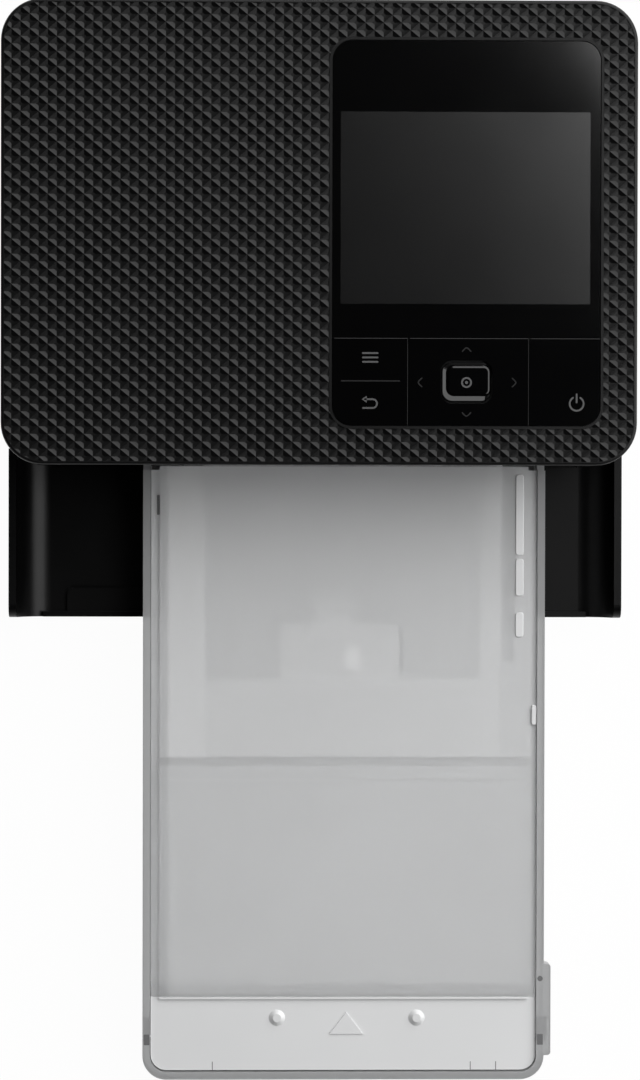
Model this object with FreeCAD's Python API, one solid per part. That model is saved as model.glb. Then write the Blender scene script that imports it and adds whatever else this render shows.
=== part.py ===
import FreeCAD, Part
import math
import os

os.makedirs("parts", exist_ok=True)

# All lengths are in millimetres. X runs across the printer, Y from front to back, Z up from the table.
# A "setback" is measured from the front face of the body towards its back.

# Whole printer
top_cover_height = 5.2
corner_radius = 12.0
case_wall = 2.0
foot_height = 1.5
foot_radius = 6.0
foot_inset = 22.0
seam_gap = 0.3
clearance = 0.3
running_fit = 0.05
overrun = 1.0

# Front cover, which hinges about a low axis and lies open on the table
cover_wall = 2.2
cover_gap = 0.5
cover_rest_z = 0.5
cover_axis_z = 3.5
cover_side_height = 13.5
cover_lip_height = 2.0
cover_lip_wall = 1.6
cover_ledge_inset = 17.0
cover_ledge_length = 8.6
cover_ledge_height = 1.4
cover_ledge_right_inset = 39.1
cover_ledge_radius = 2.0
cover_edge_radius = 4.0
cover_floor_gap = 0.4
cover_lug_radius = 2.4
cover_lug_width = 4.0
cover_pin_radius = 1.0
cover_pin_bite = 8.0
cover_relief = 4.3
sill_radius = 2.9
sill_depth = 6.0

# Top cover and the control panel in it
top_skin = 2.2
top_wall = 2.2
texture_depth = 0.4
rim_width = 1.0
top_edge_radius = 0.8
panel_side = 10.75
panel_width = 76.6
panel_setback = 11.4
panel_radius = 5.5
panel_drop = 0.1
panel_seat = 1.6
glass_thickness = 1.4
key_row_length = 24.8
key_gap = 0.25
left_key_width = 21.4
right_key_width = 20.3
ok_width = 14.2
ok_length = 11.7
ok_radius = 3.0
ok_offset = -0.5
ok_gap = 0.35
key_leg_radius = 1.5
key_leg_gap = 0.4
key_leg_inset = 3.3
key_pocket_drop = 0.5
rocker_radius = 0.45
pivot_stub_length = 0.15
pivot_ring_thickness = 0.6
pivot_ring_rise = 0.35

# Key board and screen under the panel
board_thickness = 1.2
dome_height = 0.6
dome_radius = 2.4
key_board_gap = 1.0
board_margin = 1.5
screen_key_gap = 9.9
screen_length = 55.0
screen_back_gap = 20.2
screen_side = 2.15
screen_far_side = 2.85
screen_border = 1.0
screen_thickness = 2.6

# Screws that hold the top cover
boss_inset = 8.0
boss_back = 10.5
boss_setback = 19.0
boss_radius = 3.6
boss_bore = 2.6
screw_head_radius = 2.2
screw_head_height = 2.0
screw_radius = 1.2
screw_grip = 8.0

# Opening for the cassette and the prints
mouth_height = 35.0
mouth_side = 1.8

# Paper cassette
cassette_width = 118.4
cassette_reach = 181.1
cassette_insert = 30.0
cassette_z = 9.0
cassette_height = 16.0
cassette_wall = 2.2
cassette_floor = 1.5
cassette_corner = 7.0
cassette_front_gap = 1.4
inserted_height = 12.5
inserted_end_height = 7.0
lid_shelf_width = 2.3
lid_shelf_thickness = 1.6
lid_shelf_drop = 2.3
stop_wall_inset = 25.4
stop_wall_height = 10.0
stop_wall_thickness = 1.6
ear_inset = 7.1
ear_length = 27.0
ear_width = 2.0
ear_height = 6.0
guide_rib_side = 6.3
guide_rib_width = 2.0
guide_rib_height = 12.5
guide_rib_starts = (4.0, 26.5, 43.0)
guide_rib_ends = (24.5, 38.4, 50.0)

# Lids of the cassette
lid_thickness = 1.3
lid_side_gap = 0.2
lid_raise = 0.7
lid_back_gap = 0.3
lid_tail_gap = 0.5
lid_corner = 4.6
lid_band_reach = 87.2
lid_band_width = 2.6
lid_band_depth = 0.7
lid_axis_inset = 12.1
lid_travel = 5.0
lid_pin_radius = 1.0
lid_pin_drop = 2.2
lid_lug_width = 3.0
lid_lug_length = 5.0
lid_end_length = 23.7
lid_end_thickness = 1.0
triangle_offset = 0.9
triangle_gap = 4.0
triangle_length = 6.4
triangle_half_width = 5.0
triangle_height = 0.3
bump_offsets = (-19.55, 21.65)
bump_gap = 5.6
bump_radius = 2.4
bump_height = 0.9
inner_lid_left_side = 18.2
inner_lid_right_side = 19.3
inner_lid_reach = 62.7
inner_lid_start = 2.0
inner_lid_thickness = 1.5
inner_lid_gap = 2.2
notch_side = 22.0
notch_width = 35.4
notch_length = 16.2
tab_offset = -0.6
tab_radius = 5.9
tab_reach = 41.0
inner_hinge_reach = 6.0
inner_hinge_radius = 0.9
inner_arm_width = 5.0
lift_plate_thickness = 1.0
lift_plate_side = 12.0
lift_plate_reach = 18.0
lift_plate_end = 4.0
lift_hinge_height = 2.4
lift_angle = 9.0
lift_hinge_radius = 0.9

# Chassis
base_thickness = 1.2
base_gap = 0.3
plate_thickness = 1.2
chassis_side_gap = 4.0
chassis_setback = 8.0
chassis_back_gap = 7.0
chassis_over_pivot = 4.0
chassis_seam_gap = 2.1
rail_width = 8.0
rail_side = 3.4
guide_thickness = 1.0

# Paper path and rollers
paper_gap = 5.5
paper_thickness = 0.2
paper_width = 104.0
platen_setback = 64.0
platen_radius = 6.0
shaft_radius = 2.5
supply_pinch_gap = 4.9
capstan_radius = 4.0
pinch_radius = 3.5
pinch_shaft_radius = 1.5
pinch_count = 3
pickup_setback = 16.0
pickup_radius = 4.5
pickup_drop = 3.7
pickup_shaft_radius = 2.0
pickup_tyre_width = 28.0
bush_radius = 4.0
bush_flange_radius = 5.2
bush_flange = 0.8
exit_front = 5.6
exit_rise = 6.4
exit_top_length = 16.0
exit_slope_length = 11.0
exit_slope_drop = 5.0
rear_guide_gap = 2.0
rear_guide_drop = 1.2

# Gears
gear_module = 0.8
gear_width = 3.4
gear_gap = 0.8
addendum = 0.65
dedendum = 0.95
backlash = 0.2
pressure_angle = 20.0
pinion_teeth = 12
idler_teeth = 36
capstan_teeth = 20
platen_teeth = 30
rear_pick_teeth = 20
front_pick_teeth = 22
pickup_teeth = 16
take_up_teeth = 28
rear_pick_angle = 170.0
axle_radius = 1.5
motor_radius = 9.0
motor_length = 20.0
ribbon_motor_radius = 9.5
ribbon_motor_length = 17.0
motor_shaft_radius = 1.0
motor_wall_gap = 5.5

# Ribbon cassette
ribbon_rise = 11.0
head_take_up_gap = 7.4
head_supply_gap = 6.4
ribbon_housing = 9.6
ribbon_wall = 1.2
ribbon_slot = 8.0
ribbon_end_gap = 5.0
ribbon_side_gap = 1.0
ribbon_end_wall = 2.0
ribbon_grip = 9.0
grip_door_gap = 8.1
spool_core = 5.0
supply_roll = 8.0
take_up_roll = 6.0
spool_bore = 2.4
film_rise = 0.15
film_thickness = 0.12
dog_radius = 2.3
tongue_height = 3.6
bar_rise = 2.0
bar_height = 4.0

# Thermal head
head_length = 14.0
head_offset = 1.0
head_clear = 1.6
head_strip_height = 0.8
head_strip_length = 4.0
head_pivot_lag = 12.0
head_pivot_back = 8.0
head_pivot_rise = 8.0
head_pivot_radius = 2.0
bracket_thickness = 1.2
bracket_gap = 1.9
bracket_side = 7.0
arm_length = 17.0
fin_count = 5
fin_gap = 1.4
fin_depth = 5.0
spring_width = 12.0
spring_thickness = 0.5
spring_length = 30.0

# Side door of the ribbon compartment
door_front_gap = 4.4
door_back_gap = 5.4
door_drop = 5.0
door_top_gap = 2.1
door_gap = 0.35
door_lip_length = 3.0
door_pin_radius = 0.55
door_pin_bite = 3.5
door_pillar = 4.0
lever_length = 7.0
lever_thickness = 1.6
lever_rise = 2.0
lever_height = 14.0

# Rear panel, connectors and main board
rear_panel_side = 16.0
rear_panel_bottom = 9.0
rear_panel_top = 8.0
rear_slot_height = 7.0
rear_slot_drop = 3.0
vent_width = 2.4
vent_pitch = 5.0
vent_bottom = 5.5
main_board_thickness = 1.6
main_board_width = 18.0
main_board_z = 9.0
main_board_setback = 24.0
main_board_length = 88.0
board_wall_gap = 1.5
inlet_size = 9.0
inlet_length = 11.0
inlet_bore = 2.9
inlet_pin = 0.6
card_setback = 40.0
card_length = 28.0
card_depth = 17.0
card_height = 3.4
card_mouth_height = 2.4
card_shell = 0.4

# Places worked out from the sizes above
floor_z = foot_height + case_wall
base_z = floor_z + base_gap
plate_z = base_z + base_thickness
paper_z = cassette_z + inserted_height + paper_gap
exit_level = paper_z + exit_rise
bar_bottom = paper_z + bar_rise
lever_z = paper_z + lever_rise
ribbon_z = paper_z + ribbon_rise
head_pivot_z = ribbon_z + head_pivot_rise
chassis_top = head_pivot_z + chassis_over_pivot
seam_z = chassis_top + chassis_seam_gap
body_height = seam_z + seam_gap + top_cover_height
head_setback = platen_setback + head_offset
take_up_setback = head_setback - head_length / 2 - head_take_up_gap - ribbon_housing
supply_setback = head_setback + head_length / 2 + head_supply_gap + ribbon_housing
capstan_setback = supply_setback + ribbon_housing + supply_pinch_gap + pinch_radius
head_pivot_setback = capstan_setback + head_pivot_lag
rear_guide_start = capstan_setback + capstan_radius + rear_guide_gap
door_setback = take_up_setback - ribbon_housing - door_front_gap
door_length = supply_setback + ribbon_housing + door_back_gap - door_setback
door_z = paper_z - door_drop
door_height = seam_z - door_top_gap - door_z
lever_setback = door_setback + door_length
left_bay = (chassis_side_gap + 2 * plate_thickness + 2 * gear_width + 3 * gear_gap
            + ribbon_motor_length + motor_wall_gap + case_wall)
right_bay = chassis_side_gap - ribbon_side_gap + ribbon_grip + grip_door_gap + lever_thickness + case_wall
body_width = left_bay + cassette_width + right_bay
half_width = body_width / 2
panel_length = key_row_length + screen_key_gap + screen_length + screen_back_gap
body_depth = head_pivot_setback + head_pivot_back + chassis_back_gap
front_y = (cassette_reach - body_depth) / 2
back_y = front_y + body_depth
cover_axis_y = front_y + cover_axis_z - cover_rest_z
cover_tail = cover_axis_y - front_y + cover_axis_z - foot_height - seam_gap / 2
cover_inset = cover_wall + cover_gap
cover_reach = seam_z - seam_gap - cover_axis_z - cover_axis_y + front_y
wrap_y = front_y + cover_side_height + seam_gap
wall_y = front_y + cover_inset
field_z = body_height - texture_depth
skin_z = field_z - top_skin
panel_right = half_width - panel_side
panel_left = panel_right - panel_width
panel_front_y = front_y + panel_setback
panel_back_y = panel_front_y + panel_length
glass_top = body_height - panel_drop
glass_bottom = glass_top - glass_thickness
key_back_y = panel_front_y + key_row_length
screen_x = (panel_left + screen_side, panel_right - screen_far_side)
screen_y = (key_back_y + screen_key_gap, key_back_y + screen_key_gap + screen_length)
cassette_left = left_bay - half_width
cassette_right = cassette_left + cassette_width
cassette_middle = (cassette_left + cassette_right) / 2
cassette_end_y = front_y - cassette_reach
cassette_top = cassette_z + cassette_height
tray_floor_z = cassette_z + cassette_floor
inner_lid_x = (cassette_left + inner_lid_left_side, cassette_right - inner_lid_right_side)
notch_x = (inner_lid_x[0] + notch_side, inner_lid_x[0] + notch_side + notch_width)
lid_end_y = cassette_end_y + lid_end_length
plate_left = (cassette_left - chassis_side_gap - plate_thickness, cassette_left - chassis_side_gap)
plate_right = (cassette_right + chassis_side_gap, cassette_right + chassis_side_gap + plate_thickness)
inside_x = (plate_left[1], plate_right[0])
chassis_y = (front_y + chassis_setback, back_y - chassis_back_gap)
roller_x = (cassette_middle - paper_width / 2, cassette_middle + paper_width / 2)
platen_at = (front_y + platen_setback, paper_z - platen_radius)
capstan_at = (front_y + capstan_setback, paper_z - capstan_radius)
pinch_at = (front_y + capstan_setback, paper_z + paper_thickness + pinch_radius)
pickup_at = (front_y + pickup_setback, paper_z - pickup_drop + pickup_radius)
take_up_at = (front_y + take_up_setback, ribbon_z)
supply_at = (front_y + supply_setback, ribbon_z)
head_pivot = (front_y + head_pivot_setback, head_pivot_z)
gear_x = (plate_left[0] - gear_gap - gear_width, plate_left[0] - gear_gap)
ribbon_gear_x = (gear_x[0] - gear_gap - gear_width, gear_x[0] - gear_gap)
gear_plate_x = (ribbon_gear_x[0] - gear_gap - plate_thickness, ribbon_gear_x[0] - gear_gap)


def around(middle, size):
    return (middle - size / 2, middle + size / 2)


def inset(span, by):
    return (span[0] + by, span[1] - by)


def stretched(span, by):
    return (span[0] - by, span[1] + by)


def block(x, y, z):
    corner = FreeCAD.Vector(x[0], y[0], z[0])
    return Part.makeBox(x[1] - x[0], y[1] - y[0], z[1] - z[0], corner)


def upright_edges(shape, x, y):
    # Vertical edges that stand at one of the given X and Y places
    found = []
    for edge in shape.Edges:
        ends = [vertex.Point for vertex in edge.Vertexes]
        if len(ends) == 2 and abs(ends[0].x - ends[1].x) + abs(ends[0].y - ends[1].y) < running_fit:
            near_x = min(abs(ends[0].x - place) for place in x)
            near_y = min(abs(ends[0].y - place) for place in y)
            if near_x < running_fit and near_y < running_fit:
                found.append(edge)
    return found


def slab(x, y, z, front_radius, back_radius):
    # A plate with upright rounded corners, one radius for each end in Y
    shape = block(x, y, z)
    if front_radius > 0:
        shape = shape.makeFillet(front_radius, upright_edges(shape, x, y[:1]))
    if back_radius > 0:
        shape = shape.makeFillet(back_radius, upright_edges(shape, x, y[1:]))
    return shape


def rod_x(x, place, radius):
    start = FreeCAD.Vector(x[0], place[0], place[1])
    return Part.makeCylinder(radius, x[1] - x[0], start, FreeCAD.Vector(1, 0, 0))


def rod_y(y, place, radius):
    start = FreeCAD.Vector(place[0], y[0], place[1])
    return Part.makeCylinder(radius, y[1] - y[0], start, FreeCAD.Vector(0, 1, 0))


def rod_z(z, place, radius):
    start = FreeCAD.Vector(place[0], place[1], z[0])
    return Part.makeCylinder(radius, z[1] - z[0], start, FreeCAD.Vector(0, 0, 1))


def joined(shapes):
    whole = shapes[0]
    for shape in shapes[1:]:
        whole = whole.fuse(shape)
    return whole.removeSplitter()


def prism_x(x, points):
    # A solid of constant section along X from the section's (Y, Z) corners
    corners = [FreeCAD.Vector(x[0], y, z) for y, z in points]
    face = Part.Face(Part.makePolygon(corners + corners[:1]))
    return face.extrude(FreeCAD.Vector(x[1] - x[0], 0, 0))


def pitch_radius(teeth):
    return gear_module * teeth / 2


def polar(centre, radius, angle):
    return (centre[0] + radius * math.cos(angle), centre[1] + radius * math.sin(angle))


def meshing_place(first, first_teeth, second, second_teeth, teeth, side):
    # Where a gear stands that meshes with two others, on the chosen side of their centre line
    reach = pitch_radius(first_teeth + teeth)
    other = pitch_radius(second_teeth + teeth)
    gap = math.dist(first, second)
    along = (reach ** 2 - other ** 2 + gap ** 2) / (2 * gap)
    across = side * math.sqrt(reach ** 2 - along ** 2)
    line = ((second[0] - first[0]) / gap, (second[1] - first[1]) / gap)
    return (first[0] + along * line[0] - across * line[1], first[1] + along * line[1] + across * line[0])


def meshed_phase(driver, driver_teeth, driver_phase, driven, driven_teeth):
    # The turn of a driven gear at which its tooth gaps face the driver's teeth
    angle = math.atan2(driven[1] - driver[1], driven[0] - driver[0])
    share = (angle - driver_phase) * driver_teeth / (2 * math.pi)
    return angle + math.pi - (0.5 - share) * 2 * math.pi / driven_teeth


def gear(x, centre, teeth, phase, bore):
    # A spur gear about an X axis with straight flanks
    middle = pitch_radius(teeth)
    half = math.pi * gear_module / 4 - backlash / 2
    slope = math.tan(math.radians(pressure_angle))
    tip_angle = (half - addendum * slope) / (middle + addendum)
    root_angle = (half + dedendum * slope) / (middle - dedendum)
    points = []
    for tooth in range(teeth):
        turn = phase + 2 * math.pi * tooth / teeth
        points.append(polar(centre, middle - dedendum, turn - root_angle))
        points.append(polar(centre, middle + addendum, turn - tip_angle))
        points.append(polar(centre, middle + addendum, turn + tip_angle))
        points.append(polar(centre, middle - dedendum, turn + root_angle))
    return prism_x(x, points).cut(rod_x(stretched(x, overrun), centre, bore))


idler_at = meshing_place(platen_at, platen_teeth, capstan_at, capstan_teeth, idler_teeth, 1)
feed_pinion_at = (idler_at[0], idler_at[1] - pitch_radius(idler_teeth + pinion_teeth))
rear_pick_at = polar(platen_at, pitch_radius(platen_teeth + rear_pick_teeth), math.radians(rear_pick_angle))
front_pick_at = meshing_place(rear_pick_at, rear_pick_teeth, pickup_at, pickup_teeth, front_pick_teeth, 1)
ribbon_pinion_at = (take_up_at[0] + pitch_radius(take_up_teeth + pinion_teeth), take_up_at[1])
platen_phase = 0
idler_phase = meshed_phase(platen_at, platen_teeth, platen_phase, idler_at, idler_teeth)
capstan_phase = meshed_phase(idler_at, idler_teeth, idler_phase, capstan_at, capstan_teeth)
feed_pinion_phase = meshed_phase(idler_at, idler_teeth, idler_phase, feed_pinion_at, pinion_teeth)
rear_pick_phase = meshed_phase(platen_at, platen_teeth, platen_phase, rear_pick_at, rear_pick_teeth)
front_pick_phase = meshed_phase(rear_pick_at, rear_pick_teeth, rear_pick_phase,
                                front_pick_at, front_pick_teeth)
pickup_phase = meshed_phase(front_pick_at, front_pick_teeth, front_pick_phase, pickup_at, pickup_teeth)
ribbon_pinion_phase = meshed_phase(take_up_at, take_up_teeth, 0, ribbon_pinion_at, pinion_teeth)


def boss_places():
    across = half_width - boss_inset
    return [(side * across, y) for side in (-1, 1) for y in (front_y + boss_setback, back_y - boss_back)]


def door_opening():
    y = (front_y + door_setback, front_y + door_setback + door_length)
    return y, (door_z, door_z + door_height)


def door_axis():
    y, z = door_opening()
    return (half_width - case_wall / 2, y[1] - case_wall / 2 - door_gap)


def lower_case():
    # A tub with a recessed front that the closed cover wraps
    wide = (-half_width, half_width)
    narrow = inset(wide, cover_inset)
    height = (foot_height, seam_z)
    rear = slab(wide, (wrap_y, back_y), height, 0, corner_radius)
    nose = slab(narrow, (wall_y, wrap_y + overrun), height, corner_radius - cover_inset, 0)
    hollow_z = (floor_z, seam_z + overrun)
    inner = corner_radius - case_wall
    rear_hollow = slab(inset(wide, case_wall), (wrap_y + case_wall, back_y - case_wall), hollow_z, 0, inner)
    nose_hollow = slab(inset(narrow, case_wall), (wall_y + case_wall, wrap_y + case_wall + overrun),
                       hollow_z, inner - cover_inset, 0)
    case = rear.fuse(nose).cut(rear_hollow.fuse(nose_hollow))
    pillar_y, pillar_z = door_opening()
    door_at = door_axis()
    pillar = block((half_width - door_pillar, half_width - case_wall / 2), around(door_at[1], door_pillar),
                   (floor_z, seam_z))
    sill_x = (-half_width + corner_radius, half_width - corner_radius)
    nose_bar = rod_x(sill_x, (cover_axis_y, cover_axis_z), sill_radius)
    sill = nose_bar.fuse(block(sill_x, (cover_axis_y, front_y + sill_depth),
                               (foot_height, cover_axis_z + sill_radius)))
    sill = sill.cut(block(stretched(sill_x, overrun), (front_y - overrun, front_y + sill_depth + overrun),
                          (-overrun, foot_height)))
    bosses = [rod_z((floor_z, seam_z), place, boss_radius) for place in boss_places()]
    board_posts = [rod_z((floor_z, main_board_z), place, screw_head_radius) for place in board_places()]
    rails = [block((x[0], x[1]), chassis_y, (floor_z, base_z)) for x in
             (around(plate_left[0], rail_width), around(plate_right[0], rail_width))]
    header_y = (wall_y + case_wall / 2, closed_y(cover_lip_z()) + case_wall)
    header = block(stretched(cover_lip_x(), case_wall), header_y, (mouth_z()[1], seam_z))
    case = joined([case, header, pillar, sill] + bosses + board_posts + rails)
    relief = cover_recesses()
    for side in (-1, 1):
        ends = sorted((side * (half_width - corner_radius), side * (half_width + overrun)))
        relief.append(rod_x(ends, (cover_axis_y, cover_axis_z), cover_relief))
        bore = sorted((side * (half_width - corner_radius - cover_pin_bite), side * half_width))
        relief.append(rod_x(bore, (cover_axis_y, cover_axis_z), cover_pin_radius + running_fit))
    for place in boss_places():
        relief.append(rod_z((foot_height - overrun, seam_z - screw_grip), place, boss_bore))
        relief.append(rod_z((foot_height, seam_z + overrun), place, screw_radius + running_fit))
    relief.append(block(mouth_x(), (front_y, wall_y + case_wall + overrun), mouth_z()))
    relief.append(block((half_width - door_pillar - overrun, half_width + overrun), pillar_y, pillar_z))
    pin = door_pin_radius + running_fit
    relief.append(rod_z((pillar_z[0] - door_pin_bite, pillar_z[1]), door_at, pin))
    relief.append(rod_z((pillar_z[0], seam_z + overrun), door_at, pin))
    back_wall = (back_y - case_wall - overrun, back_y + overrun)
    panel_x, panel_z = stretched(rear_panel_x(), clearance), stretched(rear_panel_z(), clearance)
    relief.append(block(panel_x, back_wall, panel_z))
    relief.append(rod_y(back_wall, inlet_place(), inlet_bore + clearance))
    mouth_y = inset(card_y(), card_shell)
    relief.append(block((-half_width - overrun, -half_width + case_wall + overrun), mouth_y,
                        card_mouth_z()))
    return case.cut(Part.makeCompound(relief))


def cover_lip_x():
    return inset((-half_width, half_width), corner_radius - cover_wall)


def cover_lip_z():
    return cover_rest_z + cover_wall + cover_lip_height


def closed_y(z):
    # Where a height on the open cover comes to lie when the cover is closed
    return cover_axis_y + z - cover_axis_z


def closed_z(y):
    return cover_axis_z + cover_axis_y - y


def cover_recesses():
    # Room in the front wall for the lip and the ledge of the closed cover
    edge = front_y - cover_reach
    lip = block(stretched(cover_lip_x(), clearance), (front_y, closed_y(cover_lip_z()) + clearance),
                (closed_z(edge + cover_lip_wall) - clearance, seam_z + overrun))
    ledge_z = cover_rest_z + cover_wall + cover_ledge_height
    ledge = block(stretched(cover_ledge_x(), clearance), (front_y, closed_y(ledge_z) + clearance),
                  (closed_z(edge + cover_ledge_length) - clearance, seam_z + overrun))
    return [lip, ledge]


def cover_ledge_x():
    return (-half_width + cover_ledge_inset, half_width - cover_ledge_right_inset)


def mouth_x():
    return stretched((cassette_left, cassette_right), mouth_side)


def mouth_z():
    low = cover_axis_z + sill_radius + clearance
    return (low, low + mouth_height)


def board_x():
    left = -half_width + case_wall + board_wall_gap
    return (left, left + main_board_width)


def board_y():
    return (front_y + main_board_setback, front_y + main_board_setback + main_board_length)


def board_places():
    x, y = inset(board_x(), screw_head_radius), inset(board_y(), screw_head_radius)
    return [(x[1], y[0]), (x[1], y[1]), (x[0], y[1])]


def rear_panel_x():
    return stretched((cassette_left, cassette_right), rear_panel_side - chassis_side_gap)


def rear_panel_z():
    return (rear_panel_bottom, seam_z - rear_panel_top)


def inlet_place():
    return (board_x()[1] - inlet_size / 2, main_board_z + main_board_thickness + inlet_size / 2)


def card_y():
    return (front_y + card_setback, front_y + card_setback + card_length)


def card_mouth_z():
    return around(main_board_z + main_board_thickness + card_height / 2, card_mouth_height)


def rubber_feet():
    across, near, far = half_width - foot_inset, front_y + foot_inset, back_y - foot_inset
    pads = []
    for x in (-across, across):
        for y in (near, far):
            pads.append(rod_z((0, foot_height), (x, y), foot_radius))
    return Part.makeCompound(pads)


def case_screws():
    # Long-shank screws that pull the top cover down onto the case
    screws = []
    seat = seam_z - screw_grip
    for place in boss_places():
        head = rod_z((seat - screw_head_height, seat), place, screw_head_radius)
        shank = rod_z((seat, skin_z), place, screw_radius)
        screws.append(head.fuse(shank).removeSplitter())
    return Part.makeCompound(screws)


def front_cover():
    # A shallow tray whose ends curve up so that they wrap the body's front corners when it is closed
    low = cover_rest_z
    reach = (front_y - cover_reach, front_y + cover_tail)
    outer = curved_trough(half_width, low, cover_side_height, corner_radius, reach)
    inner = curved_trough(half_width - cover_wall, low + cover_wall, cover_side_height,
                          corner_radius - cover_wall, stretched(reach, overrun))
    cover = outer.cut(inner)
    middle = inset((-half_width, half_width), corner_radius)
    cover = cover.cut(block(middle, (front_y - cover_floor_gap, reach[1] + overrun),
                            (low - overrun, low + cover_side_height)))
    floor = low + cover_wall
    lip = block(cover_lip_x(), (reach[0], reach[0] + cover_lip_wall), (low, cover_lip_z()))
    ledge = slab(cover_ledge_x(), (reach[0], reach[0] + cover_ledge_length),
                 (low, floor + cover_ledge_height), 0, cover_ledge_radius)
    lugs = []
    for side in (-1, 1):
        start = half_width - corner_radius + clearance
        ends = sorted((side * start, side * (start + cover_lug_width)))
        lug = rod_x(ends, (cover_axis_y, cover_axis_z), cover_lug_radius)
        foot = block(ends, (front_y, cover_axis_y), (low + cover_wall / 2, cover_axis_z))
        lugs.append(lug.fuse(foot))
    cover = joined([cover, lip, ledge] + lugs)
    corners = [edge for edge in cover.Edges if is_cover_corner(edge, reach[0])]
    cover = cover.makeFillet(cover_edge_radius, corners)
    for side in (-1, 1):
        bore = sorted((side * (half_width - corner_radius), side * (half_width - cover_wall)))
        cover = cover.cut(rod_x(bore, (cover_axis_y, cover_axis_z), cover_pin_radius + running_fit))
    return cover


def is_cover_corner(edge, y):
    # The top front corners of the two upturned ends, whose edges run across the wall
    ends = [vertex.Point for vertex in edge.Vertexes]
    if len(ends) != 2:
        return False
    high = cover_rest_z + cover_side_height
    level = all(abs(point.z - high) < running_fit and abs(point.y - y) < running_fit for point in ends)
    return level and all(abs(point.x) > half_width - corner_radius for point in ends)


def curved_trough(half, low, height, radius, y):
    # A solid with a flat bottom and round lower edges, as high as the upturned ends
    top = cover_rest_z + height
    if top - low < radius:
        radius = top - low
    section = [
        Part.LineSegment(point_xz(-half, top, y[0]), point_xz(-half, low + radius, y[0])),
        round_corner(-half + radius, low + radius, radius, math.pi, y[0]),
        Part.LineSegment(point_xz(-half + radius, low, y[0]), point_xz(half - radius, low, y[0])),
        round_corner(half - radius, low + radius, radius, 1.5 * math.pi, y[0]),
        Part.LineSegment(point_xz(half, low + radius, y[0]), point_xz(half, top, y[0])),
        Part.LineSegment(point_xz(half, top, y[0]), point_xz(-half, top, y[0])),
    ]
    wire = Part.Wire([curve.toShape() for curve in section])
    return Part.Face(wire).extrude(FreeCAD.Vector(0, y[1] - y[0], 0))


def point_xz(x, z, y):
    return FreeCAD.Vector(x, y, z)


def round_corner(x, z, radius, start, y):
    # A quarter turn in the XZ plane, from the start angle
    places = [start, start + math.pi / 4, start + math.pi / 2]
    return Part.Arc(*[FreeCAD.Vector(x + radius * math.cos(a), y, z + radius * math.sin(a)) for a in places])


def cover_hinge_pins():
    pins = []
    for side in (-1, 1):
        start = half_width - corner_radius
        ends = sorted((side * (start - cover_pin_bite + clearance),
                       side * (start + clearance + cover_lug_width)))
        pins.append(rod_x(ends, (cover_axis_y, cover_axis_z), cover_pin_radius))
    return Part.makeCompound(pins)


def ink_door():
    y, z = door_opening()
    y, z = inset(y, door_gap), inset(z, door_gap)
    axis = door_axis()
    leaf = block((half_width - case_wall, half_width), (y[0], axis[1]), z)
    edge = rod_z(z, axis, case_wall / 2)
    catch = block((half_width - case_wall - lever_thickness, half_width - case_wall),
                  (y[0] + door_lip_length, y[0] + 2 * door_lip_length), inset(z, door_height / 3))
    door = joined([leaf, edge, catch])
    return door.cut(rod_z(stretched(z, overrun), axis, door_pin_radius + running_fit))


def ink_door_pins():
    y, z = door_opening()
    axis = door_axis()
    low = rod_z((z[0] - door_pin_bite, z[0] + door_pin_bite), axis, door_pin_radius)
    high = rod_z((z[1] - door_pin_bite, seam_z), axis, door_pin_radius)
    return Part.makeCompound([low, high])


def rear_panel():
    x, z = rear_panel_x(), rear_panel_z()
    plate = block(x, (back_y - case_wall, back_y), z)
    through = (back_y - case_wall - overrun, back_y + overrun)
    slot_z = (paper_z - rear_slot_drop, paper_z - rear_slot_drop + rear_slot_height)
    cuts = [block(around(cassette_middle, paper_width + chassis_side_gap), through, slot_z)]
    vent_z = ((vent_bottom + z[0], slot_z[0] - vent_bottom / 2),
              (slot_z[1] + vent_bottom / 2, z[1] - vent_bottom / 2))
    count = int((x[1] - x[0]) / vent_pitch) - 2
    for index in range(count):
        middle = cassette_middle + (index - (count - 1) / 2) * vent_pitch
        for span in vent_z:
            cuts.append(block(around(middle, vent_width), through, span))
    return plate.cut(Part.makeCompound(cuts))


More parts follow.
